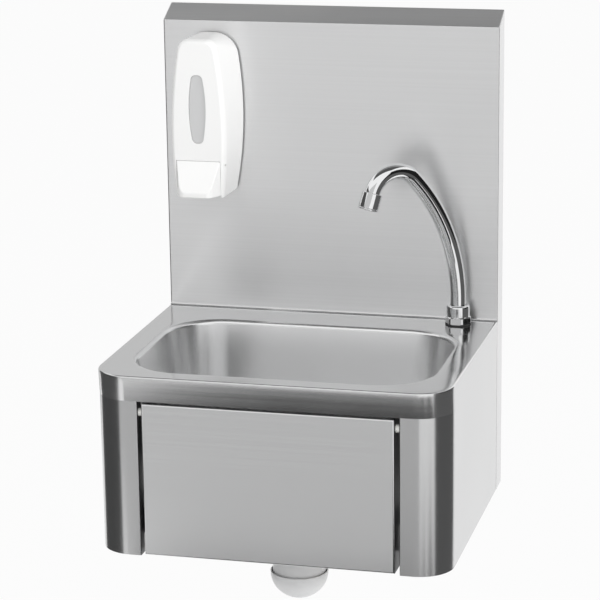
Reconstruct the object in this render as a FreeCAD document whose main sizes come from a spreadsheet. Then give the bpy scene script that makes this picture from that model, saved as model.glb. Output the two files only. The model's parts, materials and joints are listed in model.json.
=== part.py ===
"""Knee-operated wall basin with splashback, swivel spout, bottle trap and soap dispenser.

Millimetres. X points right, Y points into the wall and Z points up. The origin is the middle of
the four wall screws, on the wall plane. "Front" is towards -Y.
"""
import FreeCAD
import Part
import math
import os
import Sketcher
from types import SimpleNamespace

V = FreeCAD.Vector

# Driving sizes: name, number, meaning
SIZES = [
    # Steel shell
    ("basin_width", 400, "overall width"),
    ("basin_depth", 340, "wall to the apron's front"),
    ("deck_height", 120, "deck top above the wall screws' middle"),
    ("body_height", 208, "deck top to the foot of the sides"),
    ("sheet", 1.2, "steel gauge"),
    ("sheet_gap", 0.2, "gap between nested sheets"),
    ("apron_height", 29, "height of the apron round the deck"),
    ("corner_radius", 40, "front corner radius in plan"),
    ("splash_depth", 34, "wall to the splashback's face"),
    ("splash_height", 346, "deck top to the top of the splashback's face"),
    ("strip_rise", 16, "rise of the inclined strip over the splashback"),
    ("rear_lip", 18, "fold down behind the inclined strip"),
    ("rear_flange", 40, "width of the folds that lie on the wall"),
    ("lip_notch", 16, "notch in the lips under the deck, clear of the sides"),
    ("screw_inset", 27, "wall screws in from the basin's sides"),
    ("screw_span_z", 120, "wall screws, up"),
    ("screw_hole", 4.25, "wall screw hole radius"),
    ("side_overlap", 15, "sides up inside the apron"),
    ("side_rear_gap", 8, "rear edge of the sides to the wall"),
    # Bowl
    ("side_rim", 30, "deck beside the bowl"),
    ("front_rim", 27, "deck in front of the bowl"),
    ("rear_rim", 57, "deck behind the bowl"),
    ("bowl_depth", 130, "deck top to the bowl's floor"),
    ("bowl_corner", 62, "corner radius of the opening"),
    ("bowl_draft", 8, "slope of the bowl's walls in degrees"),
    ("floor_fillet", 30, "radius between walls and floor"),
    ("drain_hole", 21, "drain hole radius"),
    # Knee panel
    ("post_width", 53.5, "basin's side to the knee panel's opening"),
    ("panel_gap", 5, "gap beside the panel"),
    ("panel_top_gap", 2.4, "gap under the apron"),
    ("panel_foot_gap", 2, "panel's foot above the foot of the sides"),
    ("panel_flange", 20, "depth of the panel's folds"),
    ("hinge_drop", 14, "apron's lower edge down to the hinge pins"),
    ("hinge_setback", 9, "panel's face back to the hinge pins"),
    ("pin_radius", 3, "hinge pin radius"),
    ("pin_clearance", 0.05, "running clearance round pins and stems"),
    ("pin_head", 5, "hinge pin head radius"),
    ("pin_head_length", 1.5, "hinge pin head length"),
    ("bush_radius", 4.5, "bush collar radius"),
    ("bush_spigot", 3.9, "bush spigot radius"),
    ("bush_spigot_length", 2.5, "bush spigot length"),
    ("touch_gap", 0.3, "gap between pieces that meet at rest"),
    ("tab_length", 9, "stop tab beyond the panel's fold"),
    ("tab_height", 30, "stop tab height"),
    ("tab_rise", 20, "stop tab above the panel's foot"),
    ("stop_pad", 2.5, "stop pad thickness"),
    ("push_pad", 14, "push pad thickness"),
    ("push_pad_radius", 16, "push pad radius"),
    # Valve
    ("valve_inset", 106, "valve in from the basin's right side"),
    ("valve_rise", 34, "valve axis above the foot of the sides"),
    ("head_radius", 13, "plunger head radius"),
    ("head_length", 9, "plunger head length"),
    ("head_dome", 4, "plunger head dome"),
    ("plunger_stroke", 12.4, "room for the plunger's stroke"),
    ("stroke_spare", 1.7, "room left behind the head"),
    ("stem_radius", 5, "plunger stem radius"),
    ("collar_radius", 6.9, "plunger collar radius"),
    ("collar_length", 2.5, "each of the plunger's two collars"),
    ("seal_width", 2.4, "plunger seal width"),
    ("nose_radius", 12, "valve nose radius"),
    ("nose_bore", 7.2, "valve nose bore radius"),
    ("nose_reach", 34, "valve nose in front of the rail"),
    ("nose_root", 10, "valve nose inside the body"),
    ("bonnet_wall", 4, "bonnet wall"),
    ("bonnet_skirt", 8, "bonnet skirt over the nose"),
    ("locknut_flats", 32, "valve locknut across flats"),
    ("locknut_length", 8, "valve locknut length"),
    ("rail_height", 50, "rail web height"),
    ("rail_gauge", 1.5, "rail gauge"),
    ("rail_foot", 2, "rail above the foot of the sides"),
    ("rail_flange", 20, "folds at the rail's ends"),
    ("valve_width", 60, "valve body across"),
    ("valve_height", 36, "valve body height"),
    ("valve_length", 50, "valve body front to back"),
    ("inlet_pitch", 34, "distance between the inlets"),
    ("inlet_thread", 10.48, "inlet thread radius"),
    ("inlet_bore", 6, "inlet bore radius"),
    ("inlet_flats", 24, "inlet collar across flats"),
    ("inlet_collar", 6, "inlet collar length"),
    ("inlet_length", 16, "inlet thread length"),
    ("spindle_radius", 4, "mixing spindle radius"),
    ("spindle_depth", 8, "mixing spindle inside the body"),
    ("knob_radius", 13, "temperature knob radius"),
    ("knob_height", 9, "temperature knob height"),
    ("knob_gap", 1, "temperature knob under the body"),
    ("knob_fin", 3, "pointer fin beyond the knob"),
    # Pipe from valve to spout
    ("pipe_radius", 5, "pipe outer radius"),
    ("pipe_wall", 1, "pipe wall"),
    ("pipe_bend", 16, "bend radius"),
    ("pipe_entry", 8, "pipe inside its sockets"),
    ("boss_radius", 9.9, "threaded boss radius"),
    ("boss_length", 12, "outlet boss length"),
    ("pipe_nut_flats", 24, "pipe nut across flats"),
    ("pipe_nut_length", 14, "pipe nut length"),
    ("pipe_nut_lip", 4, "pipe nut end wall"),
    ("thread_gap", 0.1, "gap in threads and slip fits"),
    # Spout
    ("spout_inset", 43, "spout in from the basin's right side"),
    ("spout_setback", 54, "wall to the spout's axis"),
    ("spout_azimuth", 50, "spout's direction from the front towards the left, degrees"),
    ("tube_radius", 9, "spout tube outer radius"),
    ("tube_wall", 1.5, "spout tube wall"),
    ("tube_rise", 30, "straight foot above the deck"),
    ("sweep_radius", 220, "long bend radius"),
    ("sweep_angle", 43, "long bend angle in degrees"),
    ("crown_radius", 31, "crown bend radius"),
    ("crown_angle", 119, "crown bend angle in degrees"),
    ("tube_nose", 6.5, "straight end after the crown"),
    ("socket_depth", 5, "bottom of the spout's socket above the deck"),
    ("socket_top", 16, "top of the spout's socket above the deck"),
    ("socket_radius", 12, "spout's socket outer radius"),
    ("gasket_radius", 15, "deck gasket radius"),
    ("gasket", 1.5, "deck gasket thickness"),
    ("shank_length", 60, "threaded shank below the deck"),
    ("tap_hole", 10.5, "hole in the deck"),
    ("washer_radius", 17, "shank washer radius"),
    ("washer", 2, "shank washer thickness"),
    ("backnut_flats", 30, "shank backnut across flats"),
    ("backnut_length", 8, "shank backnut length"),
    ("nut_radius", 15, "union nut collar radius"),
    ("nut_barrel", 13.6, "union nut barrel radius"),
    ("nut_flats", 27.4, "union nut across flats"),
    ("nut_collar", 8, "union nut collar height"),
    ("nut_height", 22, "union nut height"),
    ("nut_dome", 3, "rounded top of the union nut"),
    ("ring_groove", 0.8, "seal ring groove depth"),
    ("ring_width", 2, "seal ring width"),
    ("ring_first", 2.5, "first seal ring above the tube's foot"),
    ("ring_pitch", 4, "seal ring pitch"),
    ("aerator_radius", 10.4, "aerator radius"),
    ("aerator_length", 20, "aerator length"),
    ("aerator_grip", 6, "aerator over the tube's end"),
    ("aerator_mouth", 8, "aerator mouth radius"),
    ("insert_height", 6, "aerator insert height"),
    ("insert_hole", 1.2, "aerator insert hole radius"),
    ("insert_ring_radius", 4.5, "aerator insert hole circle radius"),
    # Drain
    ("drain_flange_radius", 33, "strainer radius"),
    ("drain_flange", 2.5, "strainer thickness"),
    ("throat_radius", 19.5, "strainer throat radius"),
    ("throat_wall", 2.5, "strainer throat wall"),
    ("throat_length", 9, "strainer throat below the floor"),
    ("strainer_hole", 4.6, "strainer hole radius"),
    ("strainer_ring_radius", 10.5, "strainer hole circle radius"),
    ("drain_screw_radius", 3, "drain screw radius"),
    ("drain_screw_length", 26, "drain screw below its head"),
    ("drain_screw_head", 5, "drain screw head radius"),
    ("drain_screw_head_height", 2, "drain screw head height"),
    ("drain_gasket", 3, "drain gasket thickness"),
    ("drain_gasket_radius", 31, "drain gasket radius"),
    ("tail_flange", 4, "drain tail flange thickness"),
    ("tail_radius", 20.95, "drain tail thread radius"),
    ("tail_bore", 17, "drain tail bore radius"),
    ("tail_length", 38, "drain tail below the gasket"),
    ("tail_bar", 8, "bar across the drain tail"),
    ("tail_bar_drop", 14, "bar below the drain tail's top"),
    # Trap
    ("dip_radius", 16, "inlet tube radius"),
    ("dip_wall", 1.5, "inlet tube wall"),
    ("dip_collar", 2, "inlet tube collar"),
    ("dip_end_gap", 10, "inlet tube's end above the cup's floor"),
    ("seal_washer", 3, "washer thickness"),
    ("trap_nut_flats", 49, "trap nut across flats"),
    ("trap_nut_lip", 5, "trap nut end wall"),
    ("trap_nut_cover", 14, "trap nut over its thread"),
    ("trap_gap", 0.2, "slip fit gap in the trap"),
    ("trap_foot", 299, "deck top to the trap's lowest point"),
    ("trap_radius", 30.5, "trap body radius"),
    ("trap_wall", 2.4, "trap wall"),
    ("trap_nut_space", 2.5, "between the trap's two upper nuts"),
    ("trap_neck", 16, "trap neck length"),
    ("neck_radius", 20.5, "trap neck and outlet radius"),
    ("cup_radius", 33.6, "trap cup radius"),
    ("cup_height", 33, "trap cup height"),
    ("cup_band", 8.5, "band at the cup's top"),
    ("cup_groove", 1.8, "groove under the band"),
    ("cup_round", 14, "radius of the cup's foot"),
    ("cup_lap", 6, "trap body inside the cup"),
    ("outlet_drop", 20, "trap body's shoulder down to the outlet's axis"),
    ("outlet_reach", 52, "outlet boss from the trap's axis"),
    ("outlet_insert", 12, "outlet pipe inside its boss"),
    ("outlet_past_wall", 35, "outlet pipe past the wall plane"),
    ("spigot_radius", 15, "outlet pipe's end that goes into the waste socket"),
    ("spigot_length", 33, "length of that end"),
    ("rosette_radius", 36, "rosette radius"),
    ("rosette_depth", 14, "rosette depth"),
    ("rosette_wall", 1.2, "rosette wall"),
    # Soap dispenser
    ("soap_inset", 58, "dispenser's middle in from the basin's left side"),
    ("soap_rise", 148, "deck top to the dispenser's foot"),
    ("soap_height", 185, "dispenser height at the wall"),
    ("soap_front_drop", 2, "dispenser's front lower than its back"),
    ("soap_depth", 63, "dispenser depth"),
    ("back_foot_half", 29.5, "half width at the wall, foot"),
    ("back_top_half", 34, "half width at the wall, shoulder"),
    ("back_bulge", 460, "side curve radius at the wall"),
    ("back_shoulder", 25, "shoulder radius at the wall"),
    ("front_foot_half", 27.3, "half width at the front, foot"),
    ("front_top_half", 26.5, "half width at the front, shoulder"),
    ("front_bulge", 1100, "side curve radius at the front"),
    ("front_shoulder", 11, "shoulder radius at the front"),
    ("cover_wall", 2.5, "cover wall"),
    ("plate", 5, "back plate thickness"),
    ("plate_foot", 16, "back plate's foot above the dispenser's foot"),
    ("plate_inset", 2, "back plate inside the cover's outline"),
    ("lug_inner", 15, "hinge lug, inner face from the middle"),
    ("lug_width", 6, "hinge lug width"),
    ("lug_reach", 11, "hinge lug in front of the plate"),
    ("cover_axis_setback", 11, "cover's hinge axis in front of the splashback"),
    ("cover_axis_rise", 9, "cover's hinge axis above the dispenser's foot"),
    ("cover_pin", 2, "cover hinge pin radius"),
    ("standoff", 4, "tank in front of the plate"),
    ("standoff_width", 5, "ribs that carry the tank"),
    ("tank_half", 24, "tank half width"),
    ("tank_depth", 42, "tank front to back"),
    ("tank_foot", 42, "tank's foot above the dispenser's foot"),
    ("tank_headroom", 25, "room between the tank and the dispenser's top"),
    ("tank_wall", 2, "tank wall"),
    ("filler_radius", 13, "tank filler hole radius"),
    ("pump_rise", 16, "pump axis above the dispenser's foot"),
    ("pump_radius", 9, "pump body radius"),
    ("pump_length", 38, "pump body length"),
    ("pump_bore", 4, "pump bore radius"),
    ("pump_bore_depth", 20, "pump bore depth"),
    ("neck_half", 6, "pump neck radius"),
    ("nozzle_radius", 3.5, "nozzle radius"),
    ("nozzle_setback", 31, "nozzle in front of the plate"),
    ("nozzle_drop", 12, "nozzle below the pump axis"),
    ("piston_head", 5, "piston head radius"),
    ("piston_head_length", 5, "piston head length"),
    ("piston_dome", 1.6, "piston head dome"),
    ("piston_insert", 10, "piston inside the pump"),
    ("spring_wall", 0.9, "spring wire"),
    ("button_half", 24.2, "button half width"),
    ("button_height", 40, "button height"),
    ("button_skin", 2.7, "button wall"),
    ("button_reach", 18, "button's foot in front of the cover"),
    ("button_foot_half", 18.5, "half width at the button's foot"),
    ("button_foot", 6, "height of the button's foot edge"),
    ("button_gap", 0.6, "gap round the button"),
    ("button_axis_drop", 4.5, "button's top down to its pin"),
    ("button_axis_depth", 5, "cover's face back to the button's pin"),
    ("button_pin", 1.5, "button pin radius"),
    ("ear_inner", 17, "button ear, inner face from the middle"),
    ("ear_width", 5, "button ear width"),
    ("ear_radius", 4, "button ear radius"),
    ("window_half", 7.2, "sight window half width at its ends"),
    ("window_bulge", 190, "side curve radius of the sight window"),
    ("window_round", 6, "end radius of the sight window"),
    ("window_margin", 41.5, "sight window's top below the dispenser's top"),
    ("window_rise", 63.5, "sight window's foot above the dispenser's foot"),
    ("window_gap", 0.2, "gap round the sight window"),
    ("soap_screw", 2, "dispenser screw radius"),
    ("soap_screw_head", 4, "dispenser screw head radius"),
    ("soap_screw_head_length", 2.5, "dispenser screw head length"),
    ("soap_screw_past", 8, "dispenser screw behind the splashback"),
    ("soap_screw_first", 62, "lower dispenser screw above the dispenser's foot"),
    ("soap_screw_margin", 33, "upper dispenser screw below the dispenser's top"),
    ("soap_screw_gap", 0.2, "gap round the dispenser screws"),
]

doc = FreeCAD.newDocument("knee_basin")
sheet = doc.addObject("Spreadsheet::Sheet", "Sizes")
for row, (name, number, meaning) in enumerate(SIZES, start=1):
    sheet.set(f"A{row}", name)
    sheet.set(f"B{row}", str(number))
    sheet.setAlias(f"B{row}", name)
    sheet.set(f"C{row}", meaning)
doc.recompute()


class Size:
    """A length that carries both its number and the sheet expression that drives it."""

    def __init__(self, value, text):
        self.value = value
        self.text = text

    def __add__(self, other):
        return Size(self.value + value_of(other), f"({self.text} + {text_of(other)})")

    def __radd__(self, other):
        return self + other

    def __sub__(self, other):
        return Size(self.value - value_of(other), f"({self.text} - {text_of(other)})")

    def __rsub__(self, other):
        return -self + other

    def __mul__(self, other):
        return Size(self.value * value_of(other), f"({self.text} * {text_of(other)})")

    def __rmul__(self, other):
        return self * other

    def __truediv__(self, other):
        return Size(self.value / value_of(other), f"({self.text} / {text_of(other)})")

    def __neg__(self):
        return self * -1


def value_of(size):
    return size.value if isinstance(size, Size) else size


def text_of(size):
    return size.text if isinstance(size, Size) else repr(size)


def sine(angle):
    return Size(math.sin(math.radians(angle.value)), f"sin({angle.text})")


def cosine(angle):
    return Size(math.cos(math.radians(angle.value)), f"cos({angle.text})")


def diagonal(a, b):
    return Size(math.hypot(value_of(a), value_of(b)), f"sqrt({text_of(a)}^2 + {text_of(b)}^2)")


def bind(thing, path, size):
    """Tie a property to the sheet, if its size comes from there."""
    if isinstance(size, Size):
        thing.setExpression(path, size.text)


s = SimpleNamespace(**{name: Size(sheet.get(name), f"Sizes.{name}") for name, number, meaning in SIZES})

# Turns that bring a piece's own Z axis to the named direction
ALONG = {
    "+Z": FreeCAD.Rotation(),
    "-Z": FreeCAD.Rotation(V(1, 0, 0), 180),
    "+Y": FreeCAD.Rotation(V(1, 0, 0), -90),
    "+X": FreeCAD.Rotation(V(0, 1, 0), 90),
}
# Sketch planes: the sign of each plane's normal along its global axis
NORMAL = {"XY_Plane": 1, "XZ_Plane": -1, "YZ_Plane": 1}
parts = []


def arc_between(start, end, radius):
    """Circle arc from start to end, counter-clockwise for a positive radius."""
    middle = (start + end) * 0.5
    chord = end - start
    left = V(-chord.y, chord.x, 0).normalize()
    rise = math.sqrt(max(radius * radius - chord.Length ** 2 / 4, 0.0))
    centre = middle + left * math.copysign(rise, radius)
    first, last = (start, end) if radius > 0 else (end, start)
    circle = Part.Circle(centre, V(0, 0, 1), abs(radius))
    angles = [math.atan2(p.y - centre.y, p.x - centre.x) for p in (first, last)]
    return Part.ArcOfCircle(circle, *angles)


def pin_point(sketch, geometry, position, point):
    """Fix one sketch point at its two sizes."""
    for kind, size in zip(("DistanceX", "DistanceY"), point):
        constraint = Sketcher.Constraint(kind, -1, 1, geometry, position, value_of(size))
        bind(sketch, f"Constraints[{sketch.addConstraint(constraint)}]", size)


def fix_radius(sketch, geometry, radius):
    constraint = Sketcher.Constraint("Radius", geometry, abs(value_of(radius)))
    size = radius if value_of(radius) > 0 else -radius
    bind(sketch, f"Constraints[{sketch.addConstraint(constraint)}]", size)


def draw_outline(sketch, outline, closed=True):
    """Draw corners (x, y); a third number makes the stretch up to that corner an arc."""
    first = sketch.GeometryCount
    corners = [V(value_of(c[0]), value_of(c[1]), 0) for c in outline]
    count = len(outline)
    stretches = count if closed else count - 1
    ends = []
    for i in range(stretches):
        target = outline[(i + 1) % count]
        start, end = corners[i], corners[(i + 1) % count]
        if len(target) == 3:
            radius = value_of(target[2])
            sketch.addGeometry(arc_between(start, end, radius), False)
            ends.append((1, 2) if radius > 0 else (2, 1))
        else:
            sketch.addGeometry(Part.LineSegment(start, end), False)
            ends.append((1, 2))
    for i in range(stretches if closed else stretches - 1):
        j = (i + 1) % stretches
        sketch.addConstraint(Sketcher.Constraint("Coincident", first + i, ends[i][1], first + j, ends[j][0]))
    for i, corner in enumerate(outline):
        if i < stretches:
            pin_point(sketch, first + i, ends[i][0], corner)
        else:
            pin_point(sketch, first + i - 1, ends[i - 1][1], corner)
    for i in range(stretches):
        target = outline[(i + 1) % count]
        if len(target) == 3:
            fix_radius(sketch, first + i, target[2])


def draw_circle(sketch, centre, radius):
    place = V(value_of(centre[0]), value_of(centre[1]), 0)
    index = sketch.addGeometry(Part.Circle(place, V(0, 0, 1), value_of(radius)), False)
    fix_radius(sketch, index, radius)
    pin_point(sketch, index, 3, centre)


def rectangle(x0, x1, y0, y1):
    return [(x0, y0), (x1, y0), (x1, y1), (x0, y1)]


def rounded(x0, x1, y0, y1, radius):
    """Counter-clockwise rectangle with round corners."""
    return [
        (x0 + radius, y0, radius),
        (x1 - radius, y0),
        (x1, y0 + radius, radius),
        (x1, y1 - radius),
        (x1 - radius, y1, radius),
        (x0 + radius, y1),
        (x0, y1 - radius, radius),
        (x0, y0 + radius),
    ]


def six_round(radius):
    """Six places on a circle, the first on the X axis."""
    angles = [math.radians(60 * k) for k in range(6)]
    return [(radius * math.cos(angle), radius * math.sin(angle)) for angle in angles]


def hexagon(flats):
    """Hexagon with the given width across its flats."""
    return six_round(flats / math.sqrt(3))


class Piece:
    """One sub-part: a body built up from sketches on its own origin planes."""

    def __init__(self, label, at=(0, 0, 0), along="+Z", turn=None):
        self.body = doc.addObject("PartDesign::Body", label)
        self.body.Label = label
        self.body.AllowCompound = True
        rotation = turn if turn is not None else ALONG[along]
        self.body.Placement = FreeCAD.Placement(V(*[value_of(c) for c in at]), rotation)
        for axis, size in zip("xyz", at):
            bind(self.body, f"Placement.Base.{axis}", size)
        parts.append(self.body)

    def plane(self, role):
        return next(f for f in self.body.Origin.OriginFeatures if f.Role == role)

    def sketch(self, role, start=0):
        """Empty sketch on an origin plane, moved along that plane's global axis."""
        sketch = self.body.newObject("Sketcher::SketchObject", f"{self.body.Label}_sketch")
        sketch.AttachmentSupport = [(self.plane(role), "")]
        sketch.MapMode = "FlatFace"
        shift = start * NORMAL[role]
        sketch.AttachmentOffset = FreeCAD.Placement(V(0, 0, value_of(shift)), FreeCAD.Rotation())
        bind(sketch, "AttachmentOffset.Base.z", shift)
        return sketch

    def profile(self, role, shapes, start):
        """Sketch of outlines and of circles, which are ((x, y), radius)."""
        sketch = self.sketch(role, start)
        for shape in shapes:
            if len(shape) == 2:
                draw_circle(sketch, *shape)
            else:
                draw_outline(sketch, shape)
        return sketch

    def feature(self, kind, sketch):
        feature = self.body.newObject(f"PartDesign::{kind}", f"{self.body.Label}_{kind}")
        feature.Profile = sketch
        return feature

    def pad(self, role, shapes, start, length, draft=None):
        """Add material from start along the plane's global axis."""
        pad = self.feature("Pad", self.profile(role, shapes, start))
        pad.Reversed = NORMAL[role] < 0
        pad.Length = value_of(length)
        bind(pad, "Length", length)
        if draft is not None:
            pad.TaperAngle = value_of(draft)
            bind(pad, "TaperAngle", draft)
        return pad

    def cut(self, role, shapes, start, length, draft=None):
        """Take material away from start along the plane's global axis."""
        pocket = self.feature("Pocket", self.profile(role, shapes, start))
        pocket.Reversed = NORMAL[role] > 0
        pocket.Length = value_of(length)
        bind(pocket, "Length", length)
        if draft is not None:
            pocket.TaperAngle = value_of(draft)
            bind(pocket, "TaperAngle", draft)
        return pocket

    def turn(self, *outlines, kind="Revolution"):
        """Revolve outlines of (radius, height) about the piece's own Z axis."""
        sketch = self.profile("XZ_Plane", outlines, 0)
        turned = self.feature(kind, sketch)
        turned.ReferenceAxis = (sketch, ["V_Axis"])
        turned.Angle = 360
        return turned

    def loft(self, role, sections, kind="AdditiveLoft"):
        """Loft through (start, outline) sections on parallel planes."""
        sketches = [self.profile(role, [outline], start) for start, outline in sections]
        loft = self.feature(kind, sketches[0])
        loft.Sections = sketches[1:]
        loft.Ruled = True
        return loft

    def fillet(self, radius, chosen):
        """Round the edges of the tip that the test picks."""
        doc.recompute()
        tip = self.body.Tip
        names = [f"Edge{i}" for i, edge in enumerate(tip.Shape.Edges, start=1) if chosen(edge)]
        fillet = self.body.newObject("PartDesign::Fillet", f"{self.body.Label}_Fillet")
        fillet.Base = (tip, names)
        fillet.Radius = value_of(radius)
        bind(fillet, "Radius", radius)
        return fillet

    def mirror(self, *features):
        """Repeat features on the other side of the piece's own YZ plane."""
        mirrored = self.body.newObject("PartDesign::Mirrored", f"{self.body.Label}_Mirrored")
        mirrored.Originals = list(features)
        mirrored.MirrorPlane = (self.plane("YZ_Plane"), [""])
        self.body.Tip = mirrored
        return mirrored


def turned_piece(label, outline, at, along="+Z"):
    piece = Piece(label, at, along)
    piece.turn(outline)
    return piece


def ring(inner, outer, low, high):
    """Outline of a plain ring, for turning."""
    return [(inner, low), (outer, low), (outer, high), (inner, high)]


def level(edge, height):
    """Whether an edge lies in the plane of one height."""
    return all(abs(vertex.Z - height.value) < 1e-4 for vertex in edge.Vertexes)


# Shared places, worked out from the sizes
half = s.basin_width / 2
deck = s.deck_height
foot = deck - s.body_height
front = -s.basin_depth
splash = -s.splash_depth
face_top = deck + s.splash_height
strip_top = face_top + s.strip_rise
apron_foot = deck - s.apron_height
inset = s.sheet + s.sheet_gap
side_out = half - inset
side_in = side_out - s.sheet
post_face = front + inset
opening = half - s.post_width
panel_half = opening - s.panel_gap
hinge_y = post_face + s.hinge_setback
hinge_z = apron_foot - s.hinge_drop
panel_top = apron_foot - s.panel_top_gap
panel_foot = foot + s.panel_foot_gap
post_flange = s.panel_flange - s.sheet - s.stop_pad - s.touch_gap
bowl_length = s.basin_depth - s.splash_depth - s.front_rim - s.rear_rim
bowl_y = front + s.front_rim + bowl_length / 2
floor = deck - s.bowl_depth
valve_x = half - s.valve_inset
valve_z = foot + s.valve_rise
pad_y = post_face + s.sheet + s.push_pad
tip_y = pad_y + s.touch_gap
bonnet_y = tip_y + s.head_length + s.plunger_stroke + s.stroke_spare
nose_y = bonnet_y + s.bonnet_wall
rail_y = nose_y + s.nose_reach
valve_y = rail_y + s.rail_gauge
outlet_y = valve_y + s.valve_length / 2
spout_x = half - s.spout_inset
spout_y = -s.spout_setback
soap_x = s.soap_inset - half
soap_z = deck + s.soap_rise
cover_back = s.plate + s.touch_gap


def basin_top():
    """Deck with its apron, and the drawn bowl welded flush into it."""
    def plan(edge):
        radius = s.corner_radius - edge
        return [
            (edge - half, splash - edge),
            (edge - half, front + s.corner_radius),
            (s.corner_radius - half, front + edge, radius),
            (half - s.corner_radius, front + edge),
            (half - edge, front + s.corner_radius, radius),
            (half - edge, splash - edge),
        ]

    def mouth(edge):
        reach_x = half - s.side_rim + edge
        reach_y = bowl_length / 2 + edge
        return rounded(-reach_x, reach_x, bowl_y - reach_y, bowl_y + reach_y, s.bowl_corner + edge)

    top = Piece("basin_deck")
    top.pad("XY_Plane", [plan(0)], apron_foot, s.apron_height)
    top.cut("XY_Plane", [plan(s.sheet)], apron_foot, s.apron_height - s.sheet)
    top.cut("XY_Plane", [mouth(s.sheet)], deck - s.sheet * 2, s.sheet * 3)
    top.cut("XY_Plane", [((spout_x, spout_y), s.tap_hole)], deck - s.sheet * 2, s.sheet * 3)
    notch = [
        rectangle(side * (half - s.lip_notch), side * (half - s.sheet), apron_foot, deck - s.sheet)
        for side in (1, -1)
    ]
    top.cut("XZ_Plane", notch, splash - s.sheet * 2, s.sheet * 3)

    bowl = Piece("basin_bowl")
    shell = bowl.pad("XY_Plane", [mouth(s.sheet)], deck, s.bowl_depth + s.sheet, -s.bowl_draft)
    shell.Reversed = True
    hollow = bowl.cut("XY_Plane", [mouth(0)], deck, s.bowl_depth, -s.bowl_draft)
    hollow.Reversed = False
    bowl.fillet(s.floor_fillet, lambda edge: level(edge, floor))
    bowl.fillet(s.floor_fillet + s.sheet, lambda edge: level(edge, floor - s.sheet))
    bowl.cut("XY_Plane", [((0, bowl_y), s.drain_hole)], floor - s.sheet * 2, s.sheet * 3)


def back_panel():
    """Splashback, inclined strip, returns to the wall and folds with the wall screw holes."""
    slope = s.strip_rise / s.splash_depth
    under = s.sheet * diagonal(1, slope)
    section = [
        (splash, apron_foot),
        (splash, face_top),
        (0, strip_top),
        (0, strip_top - s.rear_lip),
        (-s.sheet, strip_top - s.rear_lip),
        (-s.sheet, strip_top - slope * s.sheet - under),
        (splash + s.sheet, face_top + slope * s.sheet - under),
        (splash + s.sheet, apron_foot),
    ]
    side = [(splash, foot), (0, foot), (0, strip_top), (splash, face_top)]
    panel = Piece("back_panel")
    panel.pad("YZ_Plane", [section], -half, s.basin_width)
    for start in (-half, half - s.sheet):
        panel.pad("YZ_Plane", [side], start, s.sheet)
    for sign in (1, -1):
        fold = rectangle(sign * half, sign * (half - s.rear_flange), foot, strip_top - s.sheet)
        panel.pad("XZ_Plane", [fold], -s.sheet, s.sheet)
    notch = [
        rectangle(sign * (half - s.sheet), sign * (half - s.lip_notch), apron_foot, deck) for sign in (1, -1)
    ]
    panel.cut("XZ_Plane", notch, splash - s.sheet, s.sheet * 2)
    screws = [
        ((sign_x * (half - s.screw_inset), sign_z * s.screw_span_z / 2), s.screw_hole)
        for sign_x in (1, -1)
        for sign_z in (1, -1)
    ]
    panel.cut("XZ_Plane", screws, -s.sheet * 2, s.sheet * 3)
    soap_holes = [
        ((soap_x, soap_z + rise), s.soap_screw + s.soap_screw_gap)
        for rise in (s.soap_screw_first, s.soap_height - s.soap_screw_margin)
    ]
    panel.cut("XZ_Plane", soap_holes, splash - s.sheet, s.sheet * 3)


def side_panel(label, sign):
    """Side wrapped round the front corner and folded back beside the knee panel."""
    outer = s.corner_radius - inset
    bend = s.corner_radius - inset - s.sheet
    plan = [
        (sign * side_out, -s.side_rear_gap),
        (sign * side_out, post_face + outer),
        (sign * (side_out - outer), post_face, -sign * outer),
        (sign * opening, post_face),
        (sign * opening, post_face + post_flange),
        (sign * (opening + s.sheet), post_face + post_flange),
        (sign * (opening + s.sheet), post_face + s.sheet),
        (sign * (side_out - outer), post_face + s.sheet),
        (sign * side_in, post_face + outer, sign * bend),
        (sign * side_in, -s.side_rear_gap),
    ]
    panel = Piece(label)
    panel.pad("XY_Plane", [plan], foot, apron_foot + s.side_overlap - foot)
    hole = ((hinge_y, hinge_z), s.bush_spigot + s.thread_gap)
    start = opening - s.sheet if sign > 0 else -opening - s.sheet * 2
    panel.cut("YZ_Plane", [hole], start, s.sheet * 3)


def knee_panel():
    """Folded tray that hangs on its pins, with a stop tab low on each fold."""
    panel = Piece("knee_panel")
    fold_rear = post_face + s.panel_flange
    tray = rectangle(-panel_half, panel_half, panel_foot, panel_top)
    panel.pad("XZ_Plane", [tray], post_face, s.panel_flange)
    inside = rectangle(s.sheet - panel_half, panel_half - s.sheet, panel_foot + s.sheet, panel_top - s.sheet)
    panel.cut("XZ_Plane", [inside], post_face + s.sheet, s.panel_flange)
    tab_foot = panel_foot + s.tab_rise
    for sign in (1, -1):
        edge = sign * (panel_half - s.sheet)
        tab = rectangle(edge, sign * (panel_half + s.tab_length), tab_foot, tab_foot + s.tab_height)
        panel.pad("XZ_Plane", [tab], fold_rear - s.sheet, s.sheet)
    hole = ((hinge_y, hinge_z), s.pin_radius + s.pin_clearance)
    panel.cut("YZ_Plane", [hole], -half, s.basin_width)

    pads = Piece("panel_stop_pads")
    seat = fold_rear - s.sheet
    pad_edge = opening - s.stop_pad
    pad = rectangle(pad_edge, panel_half + s.tab_length, tab_foot, tab_foot + s.tab_height)
    pads.mirror(pads.pad("XZ_Plane", [pad], seat - s.stop_pad, s.stop_pad))

    push = Piece("push_pad", (valve_x, post_face + s.sheet, valve_z), "+Y")
    push.turn(ring(0, s.push_pad_radius, 0, s.push_pad))


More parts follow.
